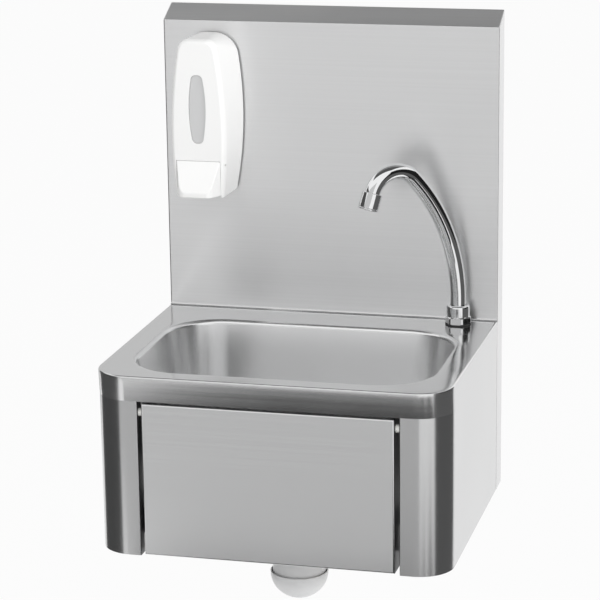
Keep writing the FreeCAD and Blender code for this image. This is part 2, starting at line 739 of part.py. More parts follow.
def panel_hinge():
    """Bushes in the posts and the pins that turn in them."""
    collar = s.panel_gap - s.touch_gap
    bush_end = collar + s.sheet + s.bush_spigot_length
    bore = s.pin_radius + s.pin_clearance
    bush_outline = [
        (bore, 0),
        (s.bush_radius, 0),
        (s.bush_radius, collar),
        (s.bush_spigot, collar),
        (s.bush_spigot, bush_end),
        (bore, bush_end),
    ]
    inner = panel_half - s.sheet - s.pin_head_length
    pin_end = opening + s.sheet + s.bush_spigot_length - inner
    pin_outline = [
        (0, 0),
        (s.pin_head, 0),
        (s.pin_head, s.pin_head_length),
        (s.pin_radius, s.pin_head_length),
        (s.pin_radius, pin_end),
        (0, pin_end),
    ]
    lying_pair("panel_bushes", bush_outline, panel_half + s.touch_gap, hinge_y, hinge_z)
    lying_pair("panel_hinge_pins", pin_outline, inner, hinge_y, hinge_z)


def lying_pair(label, outline, start, y, z, middle=0):
    """Two turned pieces on one X axis, mirrored about the middle; heights count from start."""
    piece = Piece(label, (middle, y, z))
    sketch = piece.profile("XZ_Plane", [[(start + corner[1], corner[0]) for corner in outline]], 0)
    turned = piece.feature("Revolution", sketch)
    turned.ReferenceAxis = (sketch, ["H_Axis"])
    turned.Angle = 360
    piece.mirror(turned)


def cross_rail():
    """Rail between the sides that carries the valve."""
    reach = side_in - s.sheet_gap
    low = foot + s.rail_foot
    rail = Piece("cross_rail")
    rail.pad("XZ_Plane", [rectangle(-reach, reach, low, low + s.rail_height)], rail_y, s.rail_gauge)
    fold = rectangle(rail_y, rail_y + s.rail_flange, low, low + s.rail_height)
    for start in (-reach, reach - s.rail_gauge):
        rail.pad("YZ_Plane", [fold], start, s.rail_gauge)
    nose_hole = ((valve_x, valve_z), s.nose_radius + s.touch_gap)
    rail.cut("XZ_Plane", [nose_hole], rail_y - s.sheet, s.rail_gauge * 3)


def valve():
    """Push valve behind the knee panel, with its inlets and temperature knob."""
    length = s.valve_length
    body = Piece("valve_body", (valve_x, valve_y, valve_z))
    block = rectangle(-s.valve_width / 2, s.valve_width / 2, -s.valve_height / 2, s.valve_height / 2)
    body.pad("XZ_Plane", [block], 0, length)
    body.pad("YZ_Plane", [((length / 2, 0), s.boss_radius)], s.valve_width / 2, s.boss_length)
    nose_hole = ((0, 0), s.nose_radius + s.thread_gap)
    body.cut("XZ_Plane", [nose_hole], -s.sheet, s.nose_root + s.sheet + s.touch_gap)
    body.cut("XZ_Plane", [((0, 0), s.nose_bore)], 0, length / 2)
    ports = [((sign * s.inlet_pitch / 2, 0), s.inlet_bore) for sign in (1, -1)]
    body.cut("XZ_Plane", ports, length / 2, length)
    socket = ((length / 2, 0), s.pipe_radius + s.thread_gap)
    body.cut("YZ_Plane", [socket], s.valve_width / 2 + s.boss_length - s.pipe_entry, s.pipe_entry + s.sheet)
    spindle_hole = ((0, length / 2), s.spindle_radius + s.pin_clearance)
    spindle_room = s.spindle_depth + s.sheet + s.touch_gap
    body.cut("XY_Plane", [spindle_hole], -s.valve_height / 2 - s.sheet, spindle_room)

    nose_at = (valve_x, nose_y, valve_z)
    nose_length = s.nose_reach + s.rail_gauge + s.nose_root
    turned_piece("valve_nose", ring(s.nose_bore, s.nose_radius, 0, nose_length), nose_at, "+Y")

    nut = Piece("valve_locknut", (valve_x, rail_y - s.locknut_length, valve_z), "+Y")
    nut.pad("XY_Plane", [hexagon(s.locknut_flats)], 0, s.locknut_length)
    nut.cut("XY_Plane", [((0, 0), s.nose_radius + s.thread_gap)], -s.sheet, s.locknut_length + s.sheet * 2)

    grip = s.nose_radius + s.thread_gap
    cap = grip + s.bonnet_wall
    guide = s.stem_radius + s.pin_clearance
    skirt_end = s.bonnet_wall + s.bonnet_skirt
    bonnet = [
        (guide, 0),
        (cap, 0),
        (cap, skirt_end),
        (grip, skirt_end),
        (grip, s.bonnet_wall),
        (guide, s.bonnet_wall),
    ]
    turned_piece("valve_bonnet", bonnet, (valve_x, bonnet_y, valve_z), "+Y")

    collar_start = nose_y - tip_y + s.touch_gap
    slot_start = collar_start + s.collar_length
    slot_end = slot_start + s.seal_width + s.sheet_gap
    stem_end = slot_end + s.collar_length
    dome = (s.head_radius * s.head_radius + s.head_dome * s.head_dome) / (s.head_dome * 2)
    plunger = [
        (0, 0),
        (s.head_radius, s.head_dome, dome),
        (s.head_radius, s.head_length),
        (s.stem_radius, s.head_length),
        (s.stem_radius, collar_start),
        (s.collar_radius, collar_start),
        (s.collar_radius, slot_start),
        (s.stem_radius, slot_start),
        (s.stem_radius, slot_end),
        (s.collar_radius, slot_end),
        (s.collar_radius, stem_end),
        (0, stem_end),
    ]
    tip_at = (valve_x, tip_y, valve_z)
    turned_piece("valve_plunger", plunger, tip_at, "+Y")
    seal_low = slot_start + s.sheet_gap / 2
    seal = ring(s.stem_radius + s.thread_gap, s.nose_bore - s.thread_gap, seal_low, seal_low + s.seal_width)
    turned_piece("plunger_seal", seal, tip_at, "+Y")
    spring_room = valve_y + length / 2 - tip_y
    coil = s.collar_radius - s.spring_wall
    spring = ring(coil, s.collar_radius, stem_end + s.thread_gap, spring_room - s.thread_gap)
    turned_piece("plunger_spring", spring, tip_at, "+Y")

    for label, sign in (("hot_inlet_nipple", -1), ("cold_inlet_nipple", 1)):
        nipple = Piece(label, (valve_x + sign * s.inlet_pitch / 2, valve_y + length, valve_z), "+Y")
        nipple.pad("XY_Plane", [hexagon(s.inlet_flats)], 0, s.inlet_collar)
        nipple.pad("XY_Plane", [((0, 0), s.inlet_thread)], s.inlet_collar, s.inlet_length)
        nipple_length = s.inlet_collar + s.inlet_length
        nipple.cut("XY_Plane", [((0, 0), s.inlet_bore)], -s.sheet, nipple_length + s.sheet * 2)

    knob_at = (valve_x, outlet_y, valve_z - s.valve_height / 2)
    knob_end = s.knob_gap + s.knob_height
    turned_piece("mixing_spindle", ring(0, s.spindle_radius, -s.spindle_depth, knob_end), knob_at, "-Z")
    knob = Piece("temperature_knob", knob_at, "-Z")
    knob.turn(ring(s.spindle_radius + s.thread_gap, s.knob_radius, s.knob_gap, knob_end))
    fin = rectangle(-s.knob_fin / 2, s.knob_fin / 2, s.knob_radius - s.knob_fin, s.knob_radius + s.knob_fin)
    knob.pad("XY_Plane", [fin], s.knob_gap, s.knob_height)


def bent_path(points, radius):
    """Straight runs joined by tangent arcs of one radius."""
    edges = []
    start = points[0]
    for before, corner, after in zip(points, points[1:], points[2:]):
        back = (before - corner).normalize()
        ahead = (after - corner).normalize()
        half_angle = back.getAngle(ahead) / 2
        reach = radius / math.tan(half_angle)
        centre = corner + (back + ahead).normalize() * (radius / math.sin(half_angle))
        first, last = corner + back * reach, corner + ahead * reach
        middle = centre + (corner - centre).normalize() * radius
        edges.append(Part.LineSegment(start, first).toShape())
        edges.append(Part.Arc(first, middle, last).toShape())
        start = last
    edges.append(Part.LineSegment(start, points[-1]).toShape())
    return Part.Wire(edges)


def pipe_nut(label, at, along):
    """Hexagon nut with an end wall, over a threaded boss."""
    nut = Piece(label, at, along)
    nut.pad("XY_Plane", [hexagon(s.pipe_nut_flats)], 0, s.pipe_nut_length)
    grip = s.pipe_nut_length - s.pipe_nut_lip
    nut.cut("XY_Plane", [((0, 0), s.boss_radius + s.thread_gap)], -s.sheet, grip + s.sheet)
    nut.cut("XY_Plane", [((0, 0), s.pipe_radius + s.thread_gap)], 0, s.pipe_nut_length * 2)


def delivery_pipe():
    """Pipe from the valve up to the spout's shank, bent in two planes, and its nuts."""
    boss_end = valve_x + s.valve_width / 2 + s.boss_length
    shank_end = deck - s.shank_length
    corners = [
        (boss_end - s.pipe_entry + s.touch_gap, outlet_y, valve_z),
        (spout_x, outlet_y, valve_z),
        (spout_x, spout_y, valve_z),
        (spout_x, spout_y, shank_end + s.pipe_entry),
    ]
    points = [V(*[value_of(c) for c in corner]) for corner in corners]
    path = bent_path(points, s.pipe_bend.value)
    solids = []
    for radius in (s.pipe_radius, s.pipe_radius - s.pipe_wall):
        disc = Part.Wire(Part.makeCircle(radius.value, points[0], V(1, 0, 0)))
        solids.append(path.makePipeShell([disc], True, False))
    pipe = doc.addObject("Part::Feature", "delivery_pipe")
    pipe.Label = "delivery_pipe"
    pipe.Shape = solids[0].cut(solids[1])
    pipe.Placement = FreeCAD.Placement()
    parts.append(pipe)
    wall = math.pi * (s.pipe_radius.value ** 2 - (s.pipe_radius - s.pipe_wall).value ** 2)
    print("delivery pipe volume over section times length:", pipe.Shape.Volume / (wall * path.Length))

    grip = s.pipe_nut_length - s.pipe_nut_lip
    pipe_nut("valve_pipe_nut", (boss_end + s.touch_gap - grip, outlet_y, valve_z), "+X")
    pipe_nut("shank_pipe_nut", (spout_x, spout_y, shank_end - s.touch_gap + grip), "-Z")


def spout_base():
    """What holds the spout on the deck."""
    at = (spout_x, spout_y, deck)
    bore = s.pipe_radius + s.thread_gap
    socket = s.tube_radius + s.pin_clearance
    shank = [
        (bore, -s.shank_length),
        (s.boss_radius, -s.shank_length),
        (s.boss_radius, s.gasket),
        (s.socket_radius, s.gasket),
        (s.socket_radius, s.socket_top),
        (socket, s.socket_top),
        (socket, s.socket_depth),
        (bore, s.socket_depth),
    ]
    turned_piece("spout_shank", shank, at)
    turned_piece("deck_gasket", ring(s.boss_radius + s.thread_gap, s.gasket_radius, 0, s.gasket), at)
    washer_top = -s.sheet
    washer = ring(s.boss_radius + s.thread_gap, s.washer_radius, washer_top - s.washer, washer_top)
    turned_piece("shank_washer", washer, at)
    nut_low = washer_top - s.washer - s.backnut_length
    backnut = Piece("shank_backnut", at)
    backnut.pad("XY_Plane", [hexagon(s.backnut_flats)], nut_low, s.backnut_length)
    backnut.cut("XY_Plane", [((0, 0), s.boss_radius + s.thread_gap)], nut_low - s.sheet, s.backnut_length * 2)

    low = s.gasket
    top = low + s.nut_height
    shoulder = low + s.nut_collar
    inner = s.socket_radius + s.touch_gap
    hole = s.tube_radius + s.touch_gap
    step = s.nut_radius - s.nut_barrel
    outline = [
        (inner, low),
        (s.nut_radius, low),
        (s.nut_radius, shoulder),
        (s.nut_barrel, shoulder + step),
        (s.nut_barrel, top - s.nut_dome),
        (s.nut_barrel - s.nut_dome, top, s.nut_dome),
        (hole, top),
        (hole, s.socket_top + s.touch_gap),
        (inner, s.socket_top + s.touch_gap),
    ]
    nut = Piece("spout_union_nut", at)
    nut.turn(outline)
    round_flats = [((0, 0), s.nut_radius * 2), hexagon(s.nut_flats)]
    nut.cut("XY_Plane", round_flats, low - s.sheet, s.nut_collar + s.sheet)


def spout():
    """Swan-neck tube, its seal rings and the aerator, all turning on the shank."""
    at = (spout_x, spout_y, deck)
    facing = FreeCAD.Rotation(V(0, 0, 1), -90 - s.spout_azimuth.value)
    low = s.socket_depth + s.touch_gap
    lean = s.sweep_angle
    final = s.sweep_angle + s.crown_angle
    sweep_x = s.sweep_radius * (1 - cosine(lean))
    sweep_z = s.tube_rise + s.sweep_radius * sine(lean)
    crown_x = sweep_x + s.crown_radius * (cosine(lean) - cosine(final))
    crown_z = sweep_z + s.crown_radius * (sine(final) - sine(lean))
    end_x = crown_x + s.tube_nose * sine(final)
    end_z = crown_z + s.tube_nose * cosine(final)
    route = [
        (0, low),
        (0, s.tube_rise),
        (sweep_x, sweep_z, -s.sweep_radius),
        (crown_x, crown_z, -s.crown_radius),
        (end_x, end_z),
    ]
    tube = Piece("spout_tube", at, turn=facing)
    spine = tube.sketch("XZ_Plane")
    draw_outline(spine, route, closed=False)
    section = [((0, 0), s.tube_radius), ((0, 0), s.tube_radius - s.tube_wall)]
    pipe = tube.feature("AdditivePipe", tube.profile("XY_Plane", section, low))
    doc.recompute()
    pipe.Spine = (spine, [f"Edge{i + 1}" for i in range(len(route) - 1)])
    ring_inner = s.tube_radius - s.ring_groove
    grooves = []
    for k in range(2):
        groove_low = low + s.ring_first + s.ring_pitch * k
        grooves.append(ring(ring_inner, s.tube_radius + s.sheet, groove_low, groove_low + s.ring_width))
    tube.turn(*grooves, kind="Groove")
    rings = Piece("spout_o_rings", at)
    rings.turn(*[
        ring(
            ring_inner + s.pin_clearance,
            s.tube_radius,
            groove[0][1] + s.pin_clearance,
            groove[2][1] - s.pin_clearance,
        )
        for groove in grooves
    ])

    tip = facing.multVec(V(end_x.value, 0, end_z.value))
    outward = facing.multVec(V(sine(final).value, 0, cosine(final).value))
    end_at = (
        spout_x - sine(s.spout_azimuth) * end_x,
        spout_y - cosine(s.spout_azimuth) * end_x,
        deck + end_z,
    )
    pointing = FreeCAD.Rotation(V(0, 0, 1), outward)
    grip = s.tube_radius + s.pin_clearance
    seat = s.touch_gap
    mouth_end = s.aerator_length - s.aerator_grip
    housing = [
        (grip, -s.aerator_grip),
        (s.aerator_radius, -s.aerator_grip),
        (s.aerator_radius, mouth_end),
        (s.aerator_mouth, mouth_end),
        (s.aerator_mouth, seat),
        (grip, seat),
    ]
    body = Piece("aerator_housing", end_at, turn=pointing)
    body.turn(housing)
    insert = Piece("aerator_insert", end_at, turn=pointing)
    disc = ((0, 0), s.aerator_mouth - s.pin_clearance)
    insert.pad("XY_Plane", [disc], mouth_end - s.insert_height, s.insert_height)
    holes = [((0, 0), s.insert_hole)]
    holes += [(place, s.insert_hole) for place in six_round(s.insert_ring_radius)]
    insert.cut("XY_Plane", holes, mouth_end - s.insert_height * 2, s.insert_height * 3)
    print("spout reach and height:", round(tip.Length, 1), round((sweep_z + s.crown_radius).value, 1))


def drain():
    """Strainer, screw, gasket and threaded tail in the bowl's floor."""
    at = (0, bowl_y, floor)
    bore = s.throat_radius - s.throat_wall
    flange = Piece("drain_flange", at)
    flange.turn([
        (0, 0),
        (bore, 0),
        (bore, -s.throat_length),
        (s.throat_radius, -s.throat_length),
        (s.throat_radius, 0),
        (s.drain_flange_radius, 0),
        (s.drain_flange_radius, s.drain_flange),
        (0, s.drain_flange),
    ])
    holes = [((0, 0), s.drain_screw_radius + s.thread_gap)]
    holes += [(place, s.strainer_hole) for place in six_round(s.strainer_ring_radius)]
    flange.cut("XY_Plane", holes, -s.drain_flange, s.drain_flange * 3)

    head_top = s.drain_flange + s.drain_screw_head_height
    screw = [
        (0, s.drain_flange - s.drain_screw_length),
        (s.drain_screw_radius, s.drain_flange - s.drain_screw_length),
        (s.drain_screw_radius, s.drain_flange),
        (s.drain_screw_head, s.drain_flange),
        (s.drain_screw_head, head_top),
        (0, head_top),
    ]
    turned_piece("drain_screw", screw, at)
    gasket_low = -s.sheet - s.drain_gasket
    turned_piece("drain_gasket", ring(s.drain_hole, s.drain_gasket_radius, gasket_low, -s.sheet), at)

    tail_at = (0, bowl_y, floor + gasket_low)
    tail = Piece("drain_tail", tail_at)
    wide = s.throat_radius + s.touch_gap
    recess = s.throat_length + gasket_low + s.touch_gap
    tail.turn([
        (s.tail_bore, -s.tail_length),
        (s.tail_radius, -s.tail_length),
        (s.tail_radius, -s.tail_flange),
        (s.drain_gasket_radius, -s.tail_flange),
        (s.drain_gasket_radius, 0),
        (wide, 0),
        (wide, -recess),
        (s.tail_bore, -recess),
    ])
    bar = rectangle(-s.tail_bore - s.sheet, s.tail_bore + s.sheet, -s.tail_bar / 2, s.tail_bar / 2)
    tail.pad("XY_Plane", [bar], -s.tail_bar_drop - s.tail_bar, s.tail_bar)
    hole = ((0, 0), s.drain_screw_radius + s.pin_clearance)
    tail.cut("XY_Plane", [hole], -s.tail_bar_drop - s.tail_bar * 2, s.tail_bar * 3)


def trap_nut(label, thread, end_at, along):
    """Nut whose end wall starts at end_at and whose skirt runs back over a thread."""
    nut = Piece(label, end_at, along)
    nut.pad("XY_Plane", [hexagon(s.trap_nut_flats)], -s.trap_nut_cover, s.trap_nut_cover + s.trap_nut_lip)
    skirt = ((0, 0), thread + s.trap_gap)
    nut.cut("XY_Plane", [skirt], -s.trap_nut_cover - s.sheet, s.trap_nut_cover + s.sheet)
    nut.cut("XY_Plane", [((0, 0), s.dip_radius + s.trap_gap)], -s.sheet, s.trap_nut_lip * 2)


def trap():
    """Bottle trap under the drain, out to the wall."""
    tail_foot = floor - s.sheet - s.drain_gasket - s.tail_length
    washer_foot = tail_foot - s.seal_washer
    collar_foot = washer_foot - s.dip_collar
    cup_floor = deck - s.trap_foot
    axis = (0, bowl_y, 0)

    washer = ring(s.dip_radius - s.dip_wall, s.tail_radius - s.trap_gap, washer_foot, tail_foot)
    turned_piece("trap_inlet_washer", washer, axis)
    dip_end = cup_floor + s.trap_wall + s.dip_end_gap
    dip_bore = s.dip_radius - s.dip_wall
    dip = [
        (dip_bore, dip_end),
        (s.dip_radius, dip_end),
        (s.dip_radius, collar_foot),
        (s.tail_radius - s.trap_gap, collar_foot),
        (s.tail_radius - s.trap_gap, washer_foot),
        (dip_bore, washer_foot),
    ]
    turned_piece("trap_dip_tube", dip, axis)
    trap_nut("trap_inlet_nut", s.tail_radius, (0, bowl_y, collar_foot), "-Z")

    neck_top = collar_foot - s.trap_nut_lip * 2 - s.trap_nut_space - s.touch_gap
    shoulder = neck_top - s.trap_neck
    cup_top = cup_floor + s.cup_height
    body_foot = cup_top - s.cup_lap
    bore = s.trap_radius - s.trap_wall
    slip = s.dip_radius + s.trap_gap
    body = Piece("trap_body", axis)
    body.turn([
        (slip, neck_top),
        (slip, shoulder - s.trap_wall),
        (bore, shoulder - s.trap_wall),
        (bore, body_foot),
        (s.trap_radius - s.touch_gap, body_foot),
        (s.trap_radius - s.touch_gap, cup_top),
        (s.trap_radius, cup_top),
        (s.trap_radius, shoulder),
        (s.neck_radius, shoulder),
        (s.neck_radius, neck_top),
    ])
    outlet_z = shoulder - s.outlet_drop
    branch = ((0, outlet_z), s.neck_radius)
    body.pad("XZ_Plane", [branch], bore, s.outlet_reach - bore)
    body.cut("XZ_Plane", [((0, outlet_z), slip)], bore - s.trap_wall, s.outlet_reach)
    trap_nut("trap_neck_nut", s.neck_radius, (0, bowl_y, neck_top + s.touch_gap), "+Z")

    groove_top = cup_top - s.cup_band
    lower_top = groove_top - s.cup_groove
    cup_bore = s.cup_radius - s.trap_wall
    ledge = body_foot - s.trap_wall
    turned_piece(
        "trap_cup",
        [
            (0, cup_floor),
            (s.cup_radius - s.cup_round, cup_floor),
            (s.cup_radius, cup_floor + s.cup_round, s.cup_round),
            (s.cup_radius, lower_top),
            (s.cup_radius - s.cup_groove, lower_top),
            (s.cup_radius - s.cup_groove, groove_top),
            (s.cup_radius, groove_top),
            (s.cup_radius, cup_top),
            (s.trap_radius, cup_top),
            (s.trap_radius, ledge),
            (bore, ledge),
            (bore, cup_floor + s.cup_round),
            (s.cup_radius - s.cup_round, cup_floor + s.trap_wall),
            (0, cup_floor + s.trap_wall),
        ],
        axis,
    )
    seal = ring(bore + s.trap_gap, s.trap_radius - s.trap_gap, ledge, body_foot)
    turned_piece("cup_seal", seal, axis)

    outlet_end = bowl_y + s.outlet_reach
    washer_at = (0, outlet_end, outlet_z)
    outlet_washer = ring(s.dip_radius + s.trap_gap, s.neck_radius, 0, s.seal_washer)
    turned_piece("trap_outlet_washer", outlet_washer, washer_at, "+Y")
    trap_nut("trap_outlet_nut", s.neck_radius, (0, outlet_end + s.seal_washer, outlet_z), "+Y")
    pipe_length = s.outlet_insert - outlet_end + s.outlet_past_wall
    pipe_at = (0, outlet_end - s.outlet_insert, outlet_z)
    spigot_start = pipe_length - s.spigot_length
    pipe_bore = s.spigot_radius - s.dip_wall
    pipe = [
        (pipe_bore, 0),
        (s.dip_radius, 0),
        (s.dip_radius, spigot_start),
        (s.spigot_radius, spigot_start),
        (s.spigot_radius, pipe_length),
        (pipe_bore, pipe_length),
    ]
    turned_piece("outlet_pipe", pipe, pipe_at, "+Y")
    lip = s.dip_radius + s.trap_gap
    rosette = [
        (lip, -s.rosette_depth),
        (lip + s.rosette_wall * 2, -s.rosette_depth),
        (s.rosette_radius, -s.rosette_wall),
        (s.rosette_radius, 0),
        (s.rosette_radius - s.rosette_wall * 2, 0),
        (lip + s.rosette_wall, s.rosette_wall * 2 - s.rosette_depth),
        (lip, s.rosette_wall * 2 - s.rosette_depth),
    ]
    turned_piece("wall_rosette", rosette, (0, 0, outlet_z), "+Y")


def barrel(edge, foot_half, top_half, height, bulge, shoulder):
    """Dispenser outline moved in by edge: flat foot, curved sides and round shoulders."""
    side_top = height - shoulder
    corner = shoulder - edge
    return [
        (edge - foot_half, edge, bulge),
        (foot_half - edge, edge),
        (top_half - edge, side_top, bulge),
        (top_half - shoulder, height - edge, corner),
        (shoulder - top_half, height - edge),
        (edge - top_half, side_top, corner),
    ]


def wall_outline(edge):
    return barrel(edge, s.back_foot_half, s.back_top_half, s.soap_height, s.back_bulge, s.back_shoulder)


def front_outline(edge):
    height = s.soap_height - s.soap_front_drop
    return barrel(
        edge, s.front_foot_half, s.front_top_half, height, s.front_bulge, s.front_shoulder
    )


def window_outline(edge):
    """Sight window moved in by edge: round ends and curved sides."""
    low = s.window_rise
    high = s.soap_height - s.window_margin
    corner = s.window_round
    flat = s.window_half - corner
    return [
        (-flat, low + edge, corner - edge),
        (flat, low + edge),
        (s.window_half - edge, low + corner, corner - edge),
        (s.window_half - edge, high - corner, s.window_bulge - edge),
        (flat, high - edge, corner - edge),
        (-flat, high - edge),
        (edge - s.window_half, high - corner, corner - edge),
        (edge - s.window_half, low + corner, s.window_bulge - edge),
    ]


def dispenser_back():
    """Back plate screwed to the splashback, with the tank and the pump."""
    at = (soap_x, splash, soap_z)
    plate = Piece("dispenser_back_plate", at)
    edge = s.cover_wall + s.plate_inset
    plate.pad("XZ_Plane", [wall_outline(edge)], -s.plate, s.plate)
    below = rectangle(-s.basin_width / 2, s.basin_width / 2, -s.plate_foot, s.plate_foot)
    plate.cut("XZ_Plane", [below], -s.plate * 2, s.plate * 3)
    axis = (-s.cover_axis_setback, s.cover_axis_rise)
    lug_low = s.cover_axis_rise - s.cover_pin * 2
    lug = rectangle(-s.plate - s.lug_reach, 0, lug_low, s.plate_foot + s.lug_reach)
    for start in (s.lug_inner, -s.lug_inner - s.lug_width):
        plate.pad("YZ_Plane", [lug], start, s.lug_width)
    plate.cut("YZ_Plane", [(axis, s.cover_pin + s.pin_clearance)], -half, s.basin_width)
    tank_top = s.soap_height - s.tank_headroom
    tank_height = tank_top - s.tank_foot
    for sign in (1, -1):
        rib = rectangle(sign * (s.tank_half - s.standoff_width), sign * s.tank_half, s.tank_foot, tank_top)
        plate.pad("XZ_Plane", [rib], -s.plate - s.standoff, s.standoff)
    screw_hole = s.soap_screw + s.soap_screw_gap
    places = [(0, s.soap_screw_first), (0, s.soap_height - s.soap_screw_margin)]
    plate.cut("XZ_Plane", [(place, screw_hole) for place in places], -s.plate * 2, s.plate * 3)

    screws = Piece("dispenser_screws", at)
    heads = [(place, s.soap_screw_head) for place in places]
    screws.pad("XZ_Plane", heads, -s.plate - s.soap_screw_head_length, s.soap_screw_head_length)
    stems = [(place, s.soap_screw) for place in places]
    screws.pad("XZ_Plane", stems, -s.plate, s.plate + s.soap_screw_past)

    tank_rear = -s.plate - s.standoff
    tank = Piece("soap_tank", at)
    shell = rectangle(-s.tank_half, s.tank_half, tank_rear - s.tank_depth, tank_rear)
    tank.pad("XY_Plane", [shell], s.tank_foot, tank_height)
    room = rectangle(
        s.tank_wall - s.tank_half,
        s.tank_half - s.tank_wall,
        tank_rear - s.tank_depth + s.tank_wall,
        tank_rear - s.tank_wall,
    )
    tank.cut("XY_Plane", [room], s.tank_foot + s.tank_wall, tank_height - s.tank_wall * 2)
    nozzle_y = -s.plate - s.nozzle_setback
    port = ((0, nozzle_y), s.neck_half + s.touch_gap)
    tank.cut("XY_Plane", [port], s.tank_foot - s.tank_wall, s.tank_wall * 3)
    filler = ((0, tank_rear - s.tank_depth / 2), s.filler_radius)
    tank.cut("XY_Plane", [filler], tank_top - s.tank_wall * 2, s.tank_wall * 3)

    pump = Piece("pump_body", at)
    pump.pad("XZ_Plane", [((0, s.pump_rise), s.pump_radius)], -s.plate - s.pump_length, s.pump_length)
    neck = ((0, nozzle_y), s.neck_half)
    pump.pad("XY_Plane", [neck], s.pump_rise, s.tank_foot - s.pump_rise + s.tank_wall)
    nozzle = ((0, nozzle_y), s.nozzle_radius)
    pump.pad("XY_Plane", [nozzle], s.pump_rise - s.nozzle_drop, s.nozzle_drop)
    bore = ((0, s.pump_rise), s.pump_bore + s.pin_clearance)
    pump.cut("XZ_Plane", [bore], -s.plate - s.pump_length - s.sheet, s.pump_bore_depth + s.sheet)

    pump_face = -s.plate - s.pump_length
    button_rear = s.button_skin - s.soap_depth
    piston_tip = button_rear + s.touch_gap
    head_dome = (s.piston_head * s.piston_head + s.piston_dome * s.piston_dome) / (s.piston_dome * 2)
    piston_end = pump_face - piston_tip + s.piston_insert
    piston_at = (soap_x, splash + piston_tip, soap_z + s.pump_rise)
    piston = [
        (0, 0),
        (s.piston_head, s.piston_dome, head_dome),
        (s.piston_head, s.piston_head_length),
        (s.pump_bore, s.piston_head_length),
        (s.pump_bore, piston_end),
        (0, piston_end),
    ]
    turned_piece("pump_piston", piston, piston_at, "+Y")
    inner = s.pump_bore + s.touch_gap
    spring_end = pump_face - piston_tip - s.thread_gap
    spring = ring(inner, inner + s.spring_wall, s.piston_head_length + s.thread_gap, spring_end)
    turned_piece("pump_spring", spring, piston_at, "+Y")


def dispenser_cover():
    """Cover that opens on its lower pins, with its window, and the push button in its foot."""
    at = (soap_x, splash, soap_z)
    face = -s.soap_depth
    inner_face = face + s.cover_wall
    cover = Piece("dispenser_cover", at)
    cover.loft("XZ_Plane", [(-s.touch_gap, wall_outline(0)), (face, front_outline(0))])
    hollow = [(-s.touch_gap, wall_outline(s.cover_wall)), (inner_face, front_outline(s.cover_wall))]
    cover.loft("XZ_Plane", hollow, "SubtractiveLoft")
    cover.cut("XZ_Plane", [window_outline(0)], face - s.sheet, s.cover_wall + s.sheet * 2)
    mouth_half = s.button_half + s.button_gap
    button_top = s.cover_wall + s.button_height
    mouth = rectangle(-mouth_half, mouth_half, -s.cover_wall, button_top + s.button_gap)
    cover.cut("XZ_Plane", [mouth], face - s.sheet, s.cover_wall + s.sheet * 2)
    under = rectangle(-mouth_half, mouth_half, face - s.sheet, s.sheet)
    cover.cut("XY_Plane", [under], -s.cover_wall, s.cover_wall * 3)
    hinge = (-s.cover_axis_setback, s.cover_axis_rise)
    heel = s.cover_axis_setback - s.touch_gap * 2
    heel_corner = [
        (hinge[0] + heel, hinge[1]),
        (hinge[0], hinge[1] - heel, -heel),
        (s.sheet, hinge[1] - heel),
        (s.sheet, hinge[1]),
    ]
    cover.cut("YZ_Plane", [heel_corner], -half, s.basin_width)
    cover.cut("YZ_Plane", [(hinge, s.cover_pin + s.pin_clearance)], -half, s.basin_width)
    button_y = face + s.button_axis_depth
    button_z = button_top - s.button_axis_drop
    cover.cut("YZ_Plane", [((button_y, button_z), s.button_pin + s.pin_clearance)], -half, s.basin_width)

    pin_reach = s.back_foot_half - s.cover_wall / 2
    pin = ring(0, s.cover_pin, 0, pin_reach - s.lug_inner)
    hinge_y_soap = splash - s.cover_axis_setback
    lying_pair("cover_hinge_pins", pin, s.lug_inner, hinge_y_soap, soap_z + s.cover_axis_rise, soap_x)

    pane = Piece("sight_window", at)
    pane.pad("XZ_Plane", [window_outline(s.window_gap)], face, s.cover_wall)

    button = Piece("push_button", at)
    low = s.cover_wall
    rear = face + s.button_skin
    base = rectangle(-s.button_half, s.button_half, low, button_top)
    button.pad("XZ_Plane", [base], face, s.button_skin)
    edge = rectangle(-s.button_foot_half, s.button_foot_half, low, low + s.button_foot)
    button.loft("XZ_Plane", [(face, base), (face - s.button_reach, edge)])
    ear = [((button_y, button_z), s.ear_radius)]
    web = rectangle(rear - s.sheet, button_y, button_z - s.ear_radius, button_z + s.ear_radius)
    for start in (s.ear_inner, -s.ear_inner - s.ear_width):
        button.pad("YZ_Plane", [web], start, s.ear_width)
        button.pad("YZ_Plane", ear, start, s.ear_width)
    hole = ((button_y, button_z), s.button_pin + s.pin_clearance)
    button.cut("YZ_Plane", [hole], -s.button_half * 2, s.button_half * 4)

    rod = Piece("button_pin", (soap_x, splash + button_y, soap_z + button_z), "+X")
    rod_reach = s.front_foot_half + s.cover_wall / 4
    rod.pad("XY_Plane", [((0, 0), s.button_pin)], -rod_reach, rod_reach * 2)


basin_top()
back_panel()
side_panel("left_side_panel", -1)
side_panel("right_side_panel", 1)
knee_panel()
panel_hinge()
cross_rail()
valve()
delivery_pipe()
spout_base()
spout()
drain()
trap()
dispenser_back()
dispenser_cover()
doc.recompute()

# Every feature must have worked, and every pocket must have cut something
for item in doc.Objects:
    faults = [state for state in item.State if state in ("Invalid", "Error")]
    if faults:
        raise RuntimeError(f"{item.Label}: {faults} {item.getStatusString()}")
    if item.TypeId in ("PartDesign::Pocket", "PartDesign::Groove"):
        if item.Shape.Volume > item.BaseFeature.Shape.Volume - 0.5:
            raise RuntimeError(f"{item.Label} cuts nothing")

os.makedirs("parts", exist_ok=True)
for part in parts:
    shape = part.Shape
    if shape.isNull() or not shape.isValid() or not shape.Solids:
        raise RuntimeError(f"{part.Label}: bad shape")
    shape.exportStep(f"parts/{part.Label}.step")
    box = shape.BoundBox
    ends = [box.XMin, box.XMax, box.YMin, box.YMax, box.ZMin, box.ZMax]
    print(part.Label, len(shape.Solids), [round(end, 2) for end in ends])
